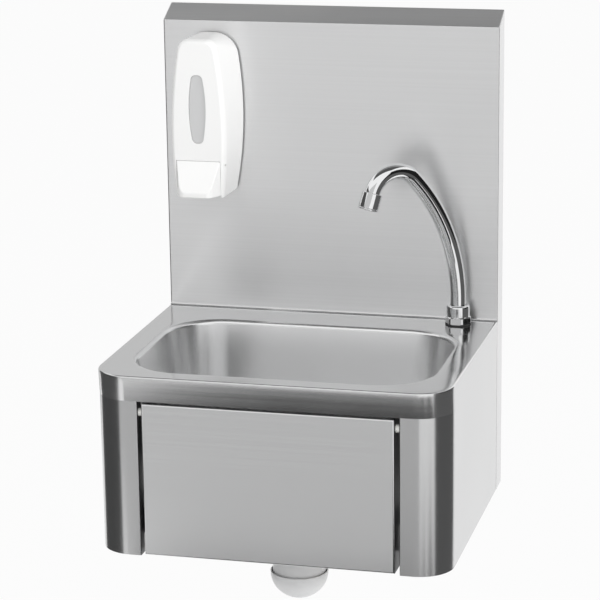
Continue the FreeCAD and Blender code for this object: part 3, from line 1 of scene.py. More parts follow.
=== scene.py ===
"""Knee-operated wall basin: visible pieces, finishes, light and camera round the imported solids.

Metres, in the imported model's frame: X points right, Y into the wall and Z up.
"""

import json
import logging
import math
from abc import ABC, abstractmethod
from collections.abc import Callable, Sequence
from dataclasses import dataclass
from enum import Enum, IntEnum

import bmesh
import bpy
from mathutils import Matrix, Vector

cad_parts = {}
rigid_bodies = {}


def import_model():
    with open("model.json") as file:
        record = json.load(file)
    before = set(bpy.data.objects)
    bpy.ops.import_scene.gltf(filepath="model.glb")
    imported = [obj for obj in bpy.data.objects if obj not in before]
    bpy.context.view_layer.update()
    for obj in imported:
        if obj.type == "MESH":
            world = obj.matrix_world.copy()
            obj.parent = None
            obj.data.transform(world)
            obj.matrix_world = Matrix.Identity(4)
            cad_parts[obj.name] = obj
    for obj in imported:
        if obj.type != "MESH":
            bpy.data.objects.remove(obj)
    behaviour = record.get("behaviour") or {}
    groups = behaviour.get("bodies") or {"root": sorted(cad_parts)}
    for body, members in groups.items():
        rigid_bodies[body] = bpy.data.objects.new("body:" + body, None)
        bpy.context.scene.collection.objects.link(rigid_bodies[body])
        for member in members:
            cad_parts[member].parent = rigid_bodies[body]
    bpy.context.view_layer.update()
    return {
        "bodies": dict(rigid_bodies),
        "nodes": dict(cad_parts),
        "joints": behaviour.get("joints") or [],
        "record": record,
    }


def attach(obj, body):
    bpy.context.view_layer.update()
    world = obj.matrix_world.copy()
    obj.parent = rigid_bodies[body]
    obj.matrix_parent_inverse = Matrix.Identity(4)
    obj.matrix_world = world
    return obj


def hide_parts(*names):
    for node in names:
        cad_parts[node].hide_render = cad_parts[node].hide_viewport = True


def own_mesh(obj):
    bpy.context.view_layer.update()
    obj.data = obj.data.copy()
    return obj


log = logging.getLogger("basin")

Place = tuple[float, float, float]
Outline = Sequence[tuple[float, float]]
UP = Vector((0.0, 0.0, 1.0))
WHITE = (1.0, 1.0, 1.0, 1.0)
QUARTER = math.pi / 2
NEAR = 2e-5
ON_LINE = 1e-4
DOUBLES = 1e-6


class Kind(Enum):
    """Elements that a selection may take."""

    VERT = "VERT"
    EDGE = "EDGE"
    FACE = "FACE"


class Skin(IntEnum):
    """Surface slots of a sheet piece; the last three are the basin top's own."""

    OUTSIDE = 0
    INSIDE = 1
    APRON = 2
    BOWL = 3
    SIDE = 4


class Body(Enum):
    """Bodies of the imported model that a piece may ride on."""

    BASIN = "basin"
    PANEL = "knee_panel"
    PLUNGER = "valve_plunger"
    SPOUT = "spout"
    KNOB = "temperature_knob"
    COVER = "dispenser_cover"
    BUTTON = "push_button"
    PISTON = "pump_piston"


def near(a: float, b: float) -> bool:
    """Whether two lengths are the same to within NEAR."""
    return abs(a - b) < NEAR


def off_outline(spot: Vector, half: float, front: float, rear: float, radius: float) -> float:
    """Distance of a spot from a level rounded rectangle.

    Args:
        spot: the place.
        half: half of the rectangle's width.
        front: its front edge along Y.
        rear: its rear edge along Y.
        radius: its corner radius.

    Returns:
        The distance, negative inside.
    """
    across = abs(spot.x) - (half - radius)
    along = abs(spot.y - (front + rear) / 2) - ((rear - front) / 2 - radius)
    return math.hypot(max(across, 0.0), max(along, 0.0)) + min(max(across, along), 0.0) - radius


def choose_only(*pieces: bpy.types.Object) -> None:
    """Leave edit mode and select these pieces alone.

    Args:
        pieces: what to select; the first one becomes active.
    """
    if bpy.context.object and bpy.context.object.mode != "OBJECT":
        bpy.ops.object.mode_set(mode="OBJECT")
    bpy.ops.object.select_all(action="DESELECT")
    for piece in pieces:
        piece.select_set(True)
    bpy.context.view_layer.objects.active = pieces[0]


class Bench:
    """One piece in edit mode, shaped by operators on chosen elements."""

    def __init__(self, piece: bpy.types.Object) -> None:
        """Keep the piece to shape."""
        self.piece = piece

    def __enter__(self) -> "Bench":
        """Open the piece alone in edit mode.

        Returns:
            The bench, so that an operator can follow.
        """
        choose_only(self.piece)
        bpy.ops.object.mode_set(mode="EDIT")
        return self

    def __exit__(self, *details: object) -> None:
        """Go back to object mode."""
        bpy.ops.object.mode_set(mode="OBJECT")

    def pick(self, kind: Kind, where: Callable[[Vector], bool], rim: bool = False) -> "Bench":
        """Select the elements whose every corner passes a test.

        Args:
            kind: what to select.
            where: test of one corner's place.
            rim: take only edges that have a face on one side.

        Returns:
            The bench, so that the operator can follow.
        """
        bpy.ops.mesh.select_all(action="DESELECT")
        bpy.ops.mesh.select_mode(type=kind.value)
        mesh = bmesh.from_edit_mesh(self.piece.data)
        pools = {Kind.VERT: mesh.verts, Kind.EDGE: mesh.edges, Kind.FACE: mesh.faces}
        found = 0
        for element in pools[kind]:
            corners = [element] if kind is Kind.VERT else element.verts
            if all(where(corner.co) for corner in corners) and not (rim and len(element.link_faces) > 1):
                element.select_set(True)
                found += 1
        if not found:
            raise ValueError(f"{self.piece.name}: nothing to pick")
        mesh.select_flush_mode()
        bmesh.update_edit_mesh(self.piece.data)
        return self

    def all(self) -> "Bench":
        """Select everything.

        Returns:
            The bench, so that an operator can follow.
        """
        bpy.ops.mesh.select_mode(type="VERT")
        bpy.ops.mesh.select_all(action="SELECT")
        return self

    def extrude(self, shift: Sequence[float]) -> "Bench":
        """Extrude the selection along a shift."""
        bpy.ops.mesh.extrude_region_move(TRANSFORM_OT_translate={"value": tuple(shift)})
        return self

    def move(self, shift: Sequence[float]) -> "Bench":
        """Move the selection."""
        bpy.ops.transform.translate(value=tuple(shift))
        return self

    def scale(self, factors: Place, centre: Sequence[float]) -> "Bench":
        """Scale the selection about a centre."""
        bpy.ops.transform.resize(value=factors, center_override=tuple(centre))
        return self

    def keep(self, test: Callable[[bmesh.types.BMEdge], bool]) -> "Bench":
        """Keep only some of the chosen edges.

        Args:
            test: which edges stay chosen.

        Returns:
            The bench, so that the operator can follow.
        """
        mesh = bmesh.from_edit_mesh(self.piece.data)
        for edge in mesh.edges:
            edge.select_set(edge.select and test(edge))
        bmesh.update_edit_mesh(self.piece.data)
        return self

    def bevel(self, width: float, segments: int, corners: bool = False) -> "Bench":
        """Round the chosen edges, or the chosen corners of an outline."""
        bpy.ops.mesh.bevel(
            offset=width,
            offset_type="OFFSET",
            segments=segments,
            profile=0.5,
            affect="VERTICES" if corners else "EDGES",
            clamp_overlap=False,
            loop_slide=False,
        )
        return self

    def spin(self, angle: float, steps: int, centre: Sequence[float], axis: Sequence[float]) -> "Bench":
        """Sweep the selection about an axis; the operator itself counts angles left-handed."""
        bpy.ops.mesh.spin(steps=steps, angle=-angle, center=tuple(centre), axis=tuple(axis))
        return self

    def inset(self, width: float) -> "Bench":
        """Inset the chosen faces."""
        bpy.ops.mesh.inset(thickness=width, use_boundary=True)
        return self

    def bisect(self, point: Place, normal: Place, drop: bool = False) -> "Bench":
        """Cut everything by a plane.

        Args:
            point: a point of the plane.
            normal: the plane's normal.
            drop: take away what lies beyond the plane and close the cut.

        Returns:
            The bench, so that another operator can follow.
        """
        self.all()
        bpy.ops.mesh.bisect(plane_co=point, plane_no=normal, use_fill=drop, clear_outer=drop)
        return self

    def delete(self, kind: str) -> "Bench":
        """Delete the selection."""
        bpy.ops.mesh.delete(type=kind)
        return self

    def close(self) -> "Bench":
        """Put one face in the chosen loop."""
        bpy.ops.mesh.edge_face_add()
        return self

    def fill(self) -> "Bench":
        """Fill between the chosen loops."""
        bpy.ops.mesh.fill(use_beauty=True)
        return self

    def bridge(self) -> "Bench":
        """Join the two chosen loops with a wall."""
        bpy.ops.mesh.bridge_edge_loops()
        return self

    def outward(self) -> "Bench":
        """Merge doubles and turn all the faces outwards.

        Returns:
            The bench, so that an operator can follow.
        """
        self.all()
        bpy.ops.mesh.remove_doubles(threshold=DOUBLES)
        bpy.ops.mesh.normals_make_consistent(inside=False)
        return self


def fresh(name: str, add: Callable[..., set[str]], scale: Sequence[float] = (1.0, 1.0, 1.0),
          **settings: object) -> bpy.types.Object:
    """Add one primitive and put its place in its mesh.

    Args:
        name: name of the new piece.
        add: operator of the primitive.
        scale: factors along the primitive's own axes.
        settings: what the operator takes.

    Returns:
        The new piece.
    """
    if bpy.context.object and bpy.context.object.mode != "OBJECT":
        bpy.ops.object.mode_set(mode="OBJECT")
    bpy.ops.object.select_all(action="DESELECT")
    add(**settings)
    piece = bpy.context.active_object
    piece.name = name
    piece.data.name = name
    piece.scale = scale
    bpy.ops.object.transform_apply(location=True, rotation=True, scale=True)
    return piece


def block(name: str, low: Sequence[float], high: Sequence[float]) -> bpy.types.Object:
    """Box between two corners, as a start."""
    low, high = Vector(low), Vector(high)
    return fresh(name, bpy.ops.mesh.primitive_cube_add, size=1.0, location=(low + high) / 2, scale=high - low)


def sheet_at(name: str, centre: Sequence[float], across: float, along: float) -> bpy.types.Object:
    """Level rectangle, as a start."""
    return fresh(name, bpy.ops.mesh.primitive_plane_add, size=1.0, location=centre, scale=(across, along, 1.0))


def rod(name: str, start: Sequence[float], end: Sequence[float], radius: float, sides: int = 48) -> bpy.types.Object:
    """Straight round bar, as a start or a cutter.

    Args:
        name: name of the bar.
        start: middle of its first end.
        end: middle of its other end.
        radius: its radius.
        sides: faces round it.

    Returns:
        The bar.
    """
    start, end = Vector(start), Vector(end)
    turn = (end - start).to_track_quat("Z", "Y").to_euler()
    return fresh(
        name,
        bpy.ops.mesh.primitive_cylinder_add,
        vertices=sides,
        radius=radius,
        depth=(end - start).length,
        location=(start + end) / 2,
        rotation=turn,
    )


def line(name: str, path: Sequence[Vector]) -> bpy.types.Object:
    """Open line, drawn by extruding one point.

    Args:
        name: name of the piece.
        path: points that it goes through.

    Returns:
        The line.
    """
    piece = fresh(name, bpy.ops.mesh.primitive_plane_add, size=NEAR, location=path[0])
    with Bench(piece) as bench:
        bench.all()
        bpy.ops.mesh.merge(type="CENTER")
        for before, after in zip(path, path[1:]):
            bench.extrude(after - before)
    return piece


def turned(name: str, outline: Outline, at: Sequence[float], axis: Vector = UP, steps: int = 72) -> bpy.types.Object:
    """Turned piece: one point drawn along an outline and spun.

    Args:
        name: name of the piece.
        outline: (radius, height) corners, the heights along the axis.
        at: where the heights count from.
        axis: direction of the turning axis.
        steps: faces round the axis.

    Returns:
        The closed piece.
    """
    axis = axis.normalized()
    aside = axis.orthogonal().normalized()
    at = Vector(at)
    piece = line(name, [at + aside * radius + axis * height for radius, height in outline])
    with Bench(piece) as bench:
        bench.all().spin(2 * math.pi, steps, at, axis)
        bench.outward()
    return piece


def join(piece: bpy.types.Object, *others: bpy.types.Object) -> None:
    """Make several pieces one mesh, under the first one's name."""
    choose_only(piece, *others)
    bpy.ops.object.join()


def apply(piece: bpy.types.Object, kind: str, **settings: object) -> None:
    """Add one modifier and apply it.

    Args:
        piece: the piece to change.
        kind: the modifier's type.
        settings: the modifier's properties.
    """
    choose_only(piece)
    modifier = piece.modifiers.new(kind.lower(), kind)
    for name, value in settings.items():
        setattr(modifier, name, value)
    bpy.ops.object.modifier_apply(modifier=modifier.name)


def thicken(piece: bpy.types.Object, wall: float) -> None:
    """Give a sheet its wall, on its inner side, which gets a surface slot of its own.

    Args:
        piece: the open sheet.
        wall: its thickness.
    """
    for _ in range(2):
        piece.data.materials.append(None)
    apply(piece, "SOLIDIFY", thickness=wall, offset=-1.0, use_even_offset=True, material_offset=1)


def drill(piece: bpy.types.Object, *cutters: bpy.types.Object) -> None:
    """Take cutters away from a piece.

    Args:
        piece: the piece to cut.
        cutters: closed shapes, which are used up.
    """
    for cutter in cutters:
        apply(piece, "BOOLEAN", operation="DIFFERENCE", solver="EXACT", object=cutter)
        bpy.data.objects.remove(cutter)


def soften(piece: bpy.types.Object, width: float, segments: int = 2, limit: float = 40.0) -> None:
    """Round the sharp edges a little and shade the rest smooth.

    Args:
        piece: the piece to finish.
        width: width of the rounding.
        segments: faces across the rounding.
        limit: angle in degrees above which an edge is sharp.
    """
    apply(
        piece,
        "BEVEL",
        width=width,
        segments=segments,
        limit_method="ANGLE",
        angle_limit=math.radians(limit),
        harden_normals=False,
    )
    shade(piece, limit)


def shade(piece: bpy.types.Object, limit: float = 35.0) -> None:
    """Smooth shading that leaves flat faces flat.

    Args:
        piece: the piece to shade.
        limit: angle in degrees above which an edge stays sharp.
    """
    choose_only(piece)
    bpy.ops.object.shade_smooth_by_angle(angle=math.radians(limit))
    apply(piece, "WEIGHTED_NORMAL", mode="FACE_AREA", weight=50, keep_sharp=True)


class Board:
    """Adds nodes to one shader tree and links them."""

    def __init__(self, tree: bpy.types.NodeTree) -> None:
        """Start on an empty tree."""
        self.tree = tree
        tree.nodes.clear()

    def node(self, kind: str, inputs: dict[str | int, object] | None = None, **settings: object) -> bpy.types.Node:
        """Add one node.

        Args:
            kind: the node's type name.
            inputs: socket values, or output sockets to link to them.
            settings: properties of the node.

        Returns:
            The node.
        """
        node = self.tree.nodes.new(kind)
        for name, value in settings.items():
            setattr(node, name, value)
        for key, value in (inputs or {}).items():
            if isinstance(value, bpy.types.NodeSocket):
                self.tree.links.new(value, node.inputs[key])
            else:
                node.inputs[key].default_value = value
        return node

    def math(self, operation: str, first: object, second: object) -> bpy.types.NodeSocket:
        """One sum of two values or sockets."""
        return self.node("ShaderNodeMath", {0: first, 1: second}, operation=operation).outputs[0]

    def mixed(self, first: object, second: object, share: float) -> bpy.types.NodeSocket:
        """Sum of two values, the first with its share and the second with the rest."""
        return self.math("ADD", self.math("MULTIPLY", first, share), self.math("MULTIPLY", second, 1 - share))

    def blend(self, share: object, first: object, second: object) -> bpy.types.NodeSocket:
        """One colour between two."""
        mix = self.node("ShaderNodeMix", {"Factor": share, 6: first, 7: second}, data_type="RGBA")
        return mix.outputs[2]

    def span(self, value: object, low: float, high: float) -> bpy.types.NodeSocket:
        """A value from 0 to 1 brought to another range."""
        return self.node("ShaderNodeMapRange", {"Value": value, "To Min": low, "To Max": high}).outputs[0]

    def stretched(self, vector: bpy.types.NodeSocket, scale: Place, detail: float,
                  seed: float) -> bpy.types.NodeSocket:
        """Noise stretched by a scale for each axis.

        Args:
            vector: the coordinates.
            scale: how many cells there are in a metre along each axis.
            detail: steps of finer noise on top.
            seed: shift that sets this noise apart from others.

        Returns:
            The noise, from 0 to 1.
        """
        mapping = self.node("ShaderNodeMapping", {"Vector": vector, "Scale": scale, "Location": (seed, seed, seed)})
        noise = self.node("ShaderNodeTexNoise", {"Vector": mapping.outputs[0], "Scale": 1.0, "Detail": detail})
        return noise.outputs["Fac"]


def effect(name: str, outputs: Sequence[str],
           build: Callable[[Board, bpy.types.NodeSocket], dict]) -> bpy.types.NodeTree:
    """Node group with a Vector input, made once.

    Args:
        name: the group's name.
        outputs: names of its value outputs.
        build: adds the nodes and gives a socket for each output.

    Returns:
        The group.
    """
    known = bpy.data.node_groups.get(name)
    if known:
        return known
    group = bpy.data.node_groups.new(name, "ShaderNodeTree")
    group.interface.new_socket("Vector", in_out="INPUT", socket_type="NodeSocketVector")
    for output in outputs:
        group.interface.new_socket(output, in_out="OUTPUT", socket_type="NodeSocketFloat")
    board = Board(group)
    entry = board.node("NodeGroupInput")
    board.node("NodeGroupOutput", build(board, entry.outputs["Vector"]))
    return group


def brushed_grain() -> bpy.types.NodeTree:
    """Fine lines along X, as a belt leaves them: long streaks over short scratches.

    Returns:
        The node group.
    """

    def build(board: Board, vector: bpy.types.NodeSocket) -> dict:
        """Two widths of line added up.

        Args:
            board: adds the nodes.
            vector: the coordinates.

        Returns:
            A socket for each output.
        """
        streak = board.stretched(vector, (1.6, 420.0, 420.0), 3.0, 3.1)
        scratch = board.stretched(vector, (9.0, 1300.0, 1300.0), 1.0, 7.7)
        return {"Streak": board.span(streak, -0.45, 1.45), "Height": board.mixed(streak, scratch, 0.7)}

    return effect("brushed_grain", ("Streak", "Height"), build)


def handling_marks() -> bpy.types.NodeTree:
    """Soft wiping marks a hand's breadth wide, and finer smears in them.

    Returns:
        The node group.
    """

    def build(board: Board, vector: bpy.types.NodeSocket) -> dict:
        """Broad and fine marks.

        Args:
            board: adds the nodes.
            vector: the coordinates.

        Returns:
            A socket for each output.
        """
        broad = board.stretched(vector, (5.0, 7.0, 7.0), 3.0, 1.3)
        fine = board.stretched(vector, (30.0, 40.0, 40.0), 1.0, 5.9)
        return {"Mark": board.span(board.mixed(broad, fine, 0.8), -0.2, 1.2)}

    return effect("handling_marks", ("Mark",), build)


def moulded_skin() -> bpy.types.NodeTree:
    """Faint orange peel and slow tone of a moulded surface.

    Returns:
        The node group.
    """

    def build(board: Board, vector: bpy.types.NodeSocket) -> dict:
        """Peel for the bump and a slow tone.

        Args:
            board: adds the nodes.
            vector: the coordinates.

        Returns:
            A socket for each output.
        """
        peel = board.stretched(vector, (520.0, 520.0, 520.0), 2.0, 2.2)
        tone = board.stretched(vector, (14.0, 14.0, 9.0), 2.0, 8.4)
        return {"Height": peel, "Tone": board.span(tone, -0.4, 1.4)}

    return effect("moulded_skin", ("Height", "Tone"), build)


def tinted(colour: Place, factor: float) -> tuple[float, float, float, float]:
    """A colour made lighter or darker, with its alpha."""
    return tuple(min(channel * factor, 1.0) for channel in colour) + (1.0,)


@dataclass(frozen=True)
class Finish(ABC):
    """A surface that a piece may be given."""

    name: str
    colour: Place

    def material(self) -> bpy.types.Material:
        """Make the finish's material, or find it.

        Returns:
            The material, which is made only once.
        """
        known = bpy.data.materials.get(self.name)
        if known:
            return known
        made = bpy.data.materials.new(self.name)
        made.use_nodes = True
        made.diffuse_color = tinted(self.colour, 1.0)
        board = Board(made.node_tree)
        shader = board.node("ShaderNodeBsdfPrincipled")
        board.node("ShaderNodeOutputMaterial", {"Surface": shader.outputs[0]})
        coords = board.node("ShaderNodeTexCoord").outputs["Object"]
        self.wire(board, shader, coords)
        return made

    @abstractmethod
    def wire(self, board: Board, shader: bpy.types.Node, coords: bpy.types.NodeSocket) -> None:
        """Join the finish's own nodes to the shader.

        Args:
            board: adds the nodes.
            shader: the material's shader node.
            coords: the piece's own coordinates.
        """

    def bump(self, board: Board, shader: bpy.types.Node, height: object, strength: float, depth: float) -> None:
        """Feed a height to the shader's normal.

        Args:
            board: adds the node.
            shader: the material's shader node.
            height: socket with the height.
            strength: share of the bump that shows.
            depth: what a height of 1 stands for, in metres.
        """
        bump = board.node("ShaderNodeBump", {"Strength": strength, "Distance": depth, "Height": height})
        board.tree.links.new(bump.outputs[0], shader.inputs["Normal"])


@dataclass(frozen=True)
class Steel(Finish):
    """Stainless sheet with belt lines along one direction."""

    gloss: float = 0.28
    turn: Place = (0.0, 0.0, 0.0)
    stretch: Place = (1.0, 1.0, 1.0)
    streak: float = 0.05
    lines: float = 0.12
    smear: float = 0.0
    smear_turn: float = 0.0
    wiped: float = 0.02
    rubbed: float = 0.015
    line_depth: float = 0.0004

    def wire(self, board: Board, shader: bpy.types.Node, coords: bpy.types.NodeSocket) -> None:
        """Lines in colour, roughness and bump; wiping marks in roughness.

        Args:
            board: adds the nodes.
            shader: the material's shader node.
            coords: the piece's own coordinates.
        """
        placing = {"Vector": coords, "Rotation": self.turn, "Scale": self.stretch}
        turned_coords = board.node("ShaderNodeMapping", placing).outputs[0]
        grain = board.node("ShaderNodeGroup", node_tree=brushed_grain())
        marks = board.node("ShaderNodeGroup", node_tree=handling_marks())
        for group in (grain, marks):
            board.tree.links.new(turned_coords, group.inputs["Vector"])
        streak, mark = grain.outputs["Streak"], marks.outputs["Mark"]
        share = board.mixed(streak, mark, 0.7)
        tone = board.blend(share, tinted(self.colour, 1 - self.streak), tinted(self.colour, 1 + self.streak))
        rough = board.math("ADD", board.span(mark, self.gloss - self.wiped, self.gloss + self.wiped),
                           board.span(streak, -self.rubbed, self.rubbed))
        board.tree.links.new(tone, shader.inputs["Base Color"])
        board.tree.links.new(rough, shader.inputs["Roughness"])
        shader.inputs["Metallic"].default_value = 1.0
        shader.inputs["Anisotropic"].default_value = self.smear
        shader.inputs["Anisotropic Rotation"].default_value = self.smear_turn
        self.bump(board, shader, grain.outputs["Height"], self.lines, self.line_depth)


@dataclass(frozen=True)
class Metal(Finish):
    """Plated or turned metal with faint wiping marks."""

    gloss: float = 0.06
    marked: float = 0.04
    stain: float = 0.04
    smoothest: float = 0.02

    def wire(self, board: Board, shader: bpy.types.Node, coords: bpy.types.NodeSocket) -> None:
        """Marks in roughness and a little in colour.

        Args:
            board: adds the nodes.
            shader: the material's shader node.
            coords: the piece's own coordinates.
        """
        marks = board.node("ShaderNodeGroup", {"Vector": coords}, node_tree=handling_marks())
        mark = marks.outputs["Mark"]
        tone = board.blend(mark, tinted(self.colour, 1 - self.stain), tinted(self.colour, 1 + self.stain))
        board.tree.links.new(tone, shader.inputs["Base Color"])
        rough = board.span(mark, max(self.gloss - self.marked / 2, self.smoothest), self.gloss + self.marked)
        board.tree.links.new(rough, shader.inputs["Roughness"])
        shader.inputs["Metallic"].default_value = 1.0


@dataclass(frozen=True)
class Moulding(Finish):
    """Moulded plastic or rubber."""

    gloss: float = 0.3
    peel: float = 0.05
    variation: float = 0.02
    coat: float = 0.0
    glow: float = 0.0
    polished: float = 0.04
    dulled: float = 0.05
    coat_gloss: float = 0.08
    glow_depth: float = 0.004
    peel_depth: float = 0.0002

    def wire(self, board: Board, shader: bpy.types.Node, coords: bpy.types.NodeSocket) -> None:
        """Slow tone in colour and roughness, peel in the bump.

        Args:
            board: adds the nodes.
            shader: the material's shader node.
            coords: the piece's own coordinates.
        """
        skin = board.node("ShaderNodeGroup", {"Vector": coords}, node_tree=moulded_skin())
        marks = board.node("ShaderNodeGroup", {"Vector": coords}, node_tree=handling_marks())
        share = board.mixed(skin.outputs["Tone"], marks.outputs["Mark"], 0.5)
        tone = board.blend(share, tinted(self.colour, 1 - self.variation), tinted(self.colour, 1 + self.variation))
        board.tree.links.new(tone, shader.inputs["Base Color"])
        rough = board.span(marks.outputs["Mark"], self.gloss - self.polished, self.gloss + self.dulled)
        board.tree.links.new(rough, shader.inputs["Roughness"])
        shader.inputs["Coat Weight"].default_value = self.coat
        shader.inputs["Coat Roughness"].default_value = self.coat_gloss
        if self.glow:
            shader.inputs["Subsurface Weight"].default_value = self.glow
            shader.inputs["Subsurface Radius"].default_value = (self.glow_depth,) * 3
        self.bump(board, shader, skin.outputs["Height"], self.peel, self.peel_depth)


ALONG = (1.0, 0.012, 1.0)
# SPLASH_STEEL to SIDE_STEEL are one stainless sheet: their base colours differ so that each region reads lighter or
# darker, which is painted light and shade; their gloss, grain and smear are their own.
SPLASH_STEEL = Steel("steel_splash", (0.85, 0.852, 0.855), gloss=0.35, stretch=ALONG, streak=0.03, lines=0.012,
                     smear=0.6, smear_turn=0.25)
PANEL_STEEL = Steel("steel_panel", (0.79, 0.792, 0.796), gloss=0.17, stretch=ALONG, streak=0.03, lines=0.012)
DECK_STEEL = Steel("steel_deck", (0.77, 0.772, 0.775), gloss=0.14, streak=0.02, lines=0.01)
APRON_STEEL = Steel("steel_apron", (0.78, 0.782, 0.785), gloss=0.20, stretch=ALONG, streak=0.03, lines=0.012)
BOWL_STEEL = Metal("steel_bowl", (0.90, 0.902, 0.905), gloss=0.27, marked=0.0, stain=0.01)
SIDE_STEEL = Steel("steel_side", (0.65, 0.652, 0.655), gloss=0.20, turn=(0.0, QUARTER, 0.0), streak=0.02, lines=0.01)
# Inner sides of the sheets and walls of the gaps: rough like the unpolished side of a sheet, and dark, which is
# painted shade for the shadowed inside.
SHADED_INSIDE_STEEL = Metal("steel_inside_painted_shade", (0.26, 0.262, 0.265), gloss=0.50, marked=0.08)
FITTING_STEEL = Metal("steel_fitting", (0.60, 0.605, 0.61), gloss=0.22, marked=0.08)
CHROME = Metal("chrome_bright", (0.84, 0.845, 0.85), gloss=0.03, marked=0.02)
BRASS = Metal("brass_turned", (0.62, 0.46, 0.20), gloss=0.28, marked=0.1)
SPRING = Metal("spring_wire", (0.45, 0.455, 0.46), gloss=0.3, marked=0.1)
GLOSS_WHITE = Moulding("plastic_gloss_white", (0.86, 0.86, 0.855), gloss=0.24, peel=0.03, variation=0.012, coat=0.25)
TRAP_WHITE = Moulding("plastic_trap_white", (0.72, 0.722, 0.725), gloss=0.34, peel=0.06)
NYLON = Moulding("nylon_natural", (0.78, 0.78, 0.75), gloss=0.42, peel=0.08)
RUBBER = Moulding("rubber_black", (0.022, 0.022, 0.022), gloss=0.62, peel=0.25, variation=0.15)
PANE = Moulding("pane_grey", (0.56, 0.562, 0.565), gloss=0.25, peel=0.02)
TANK = Moulding("plastic_natural", (0.72, 0.72, 0.70), gloss=0.4, peel=0.06, glow=0.3)

SLOT_FINISHES: dict[str, Finish] = {
    "stainless": FITTING_STEEL,
    "chrome": CHROME,
    "brass": BRASS,
    "white_gloss": GLOSS_WHITE,
    "trap_white": TRAP_WHITE,
    "nylon": NYLON,
    "black_rubber": RUBBER,
    "window_grey": PANE,
    "natural_plastic": TANK,
    "spring_steel": SPRING,
}


def hand_over(piece: bpy.types.Object, body: Body, slot: str, finish: Finish, *nodes: str,
              inside: Finish | None = None) -> None:
    """Give a finished piece its surface and its body, and hide the nodes it stands for.

    Args:
        piece: the finished piece.
        body: what it moves with.
        slot: the record's material slot; not used.
        finish: its surface.
        nodes: solids that it replaces.
        inside: surface of a sheet's inner side, where it is another one.
    """
    surfaces = piece.data.materials
    if not surfaces:
        surfaces.append(None)
    for k in range(len(surfaces)):
        surfaces[k] = (inside if k and inside else finish).material()
    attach(piece, body.value)
    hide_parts(*nodes)
    log.info("%s rides on %s for %s", piece.name, body.value, ", ".join(nodes))


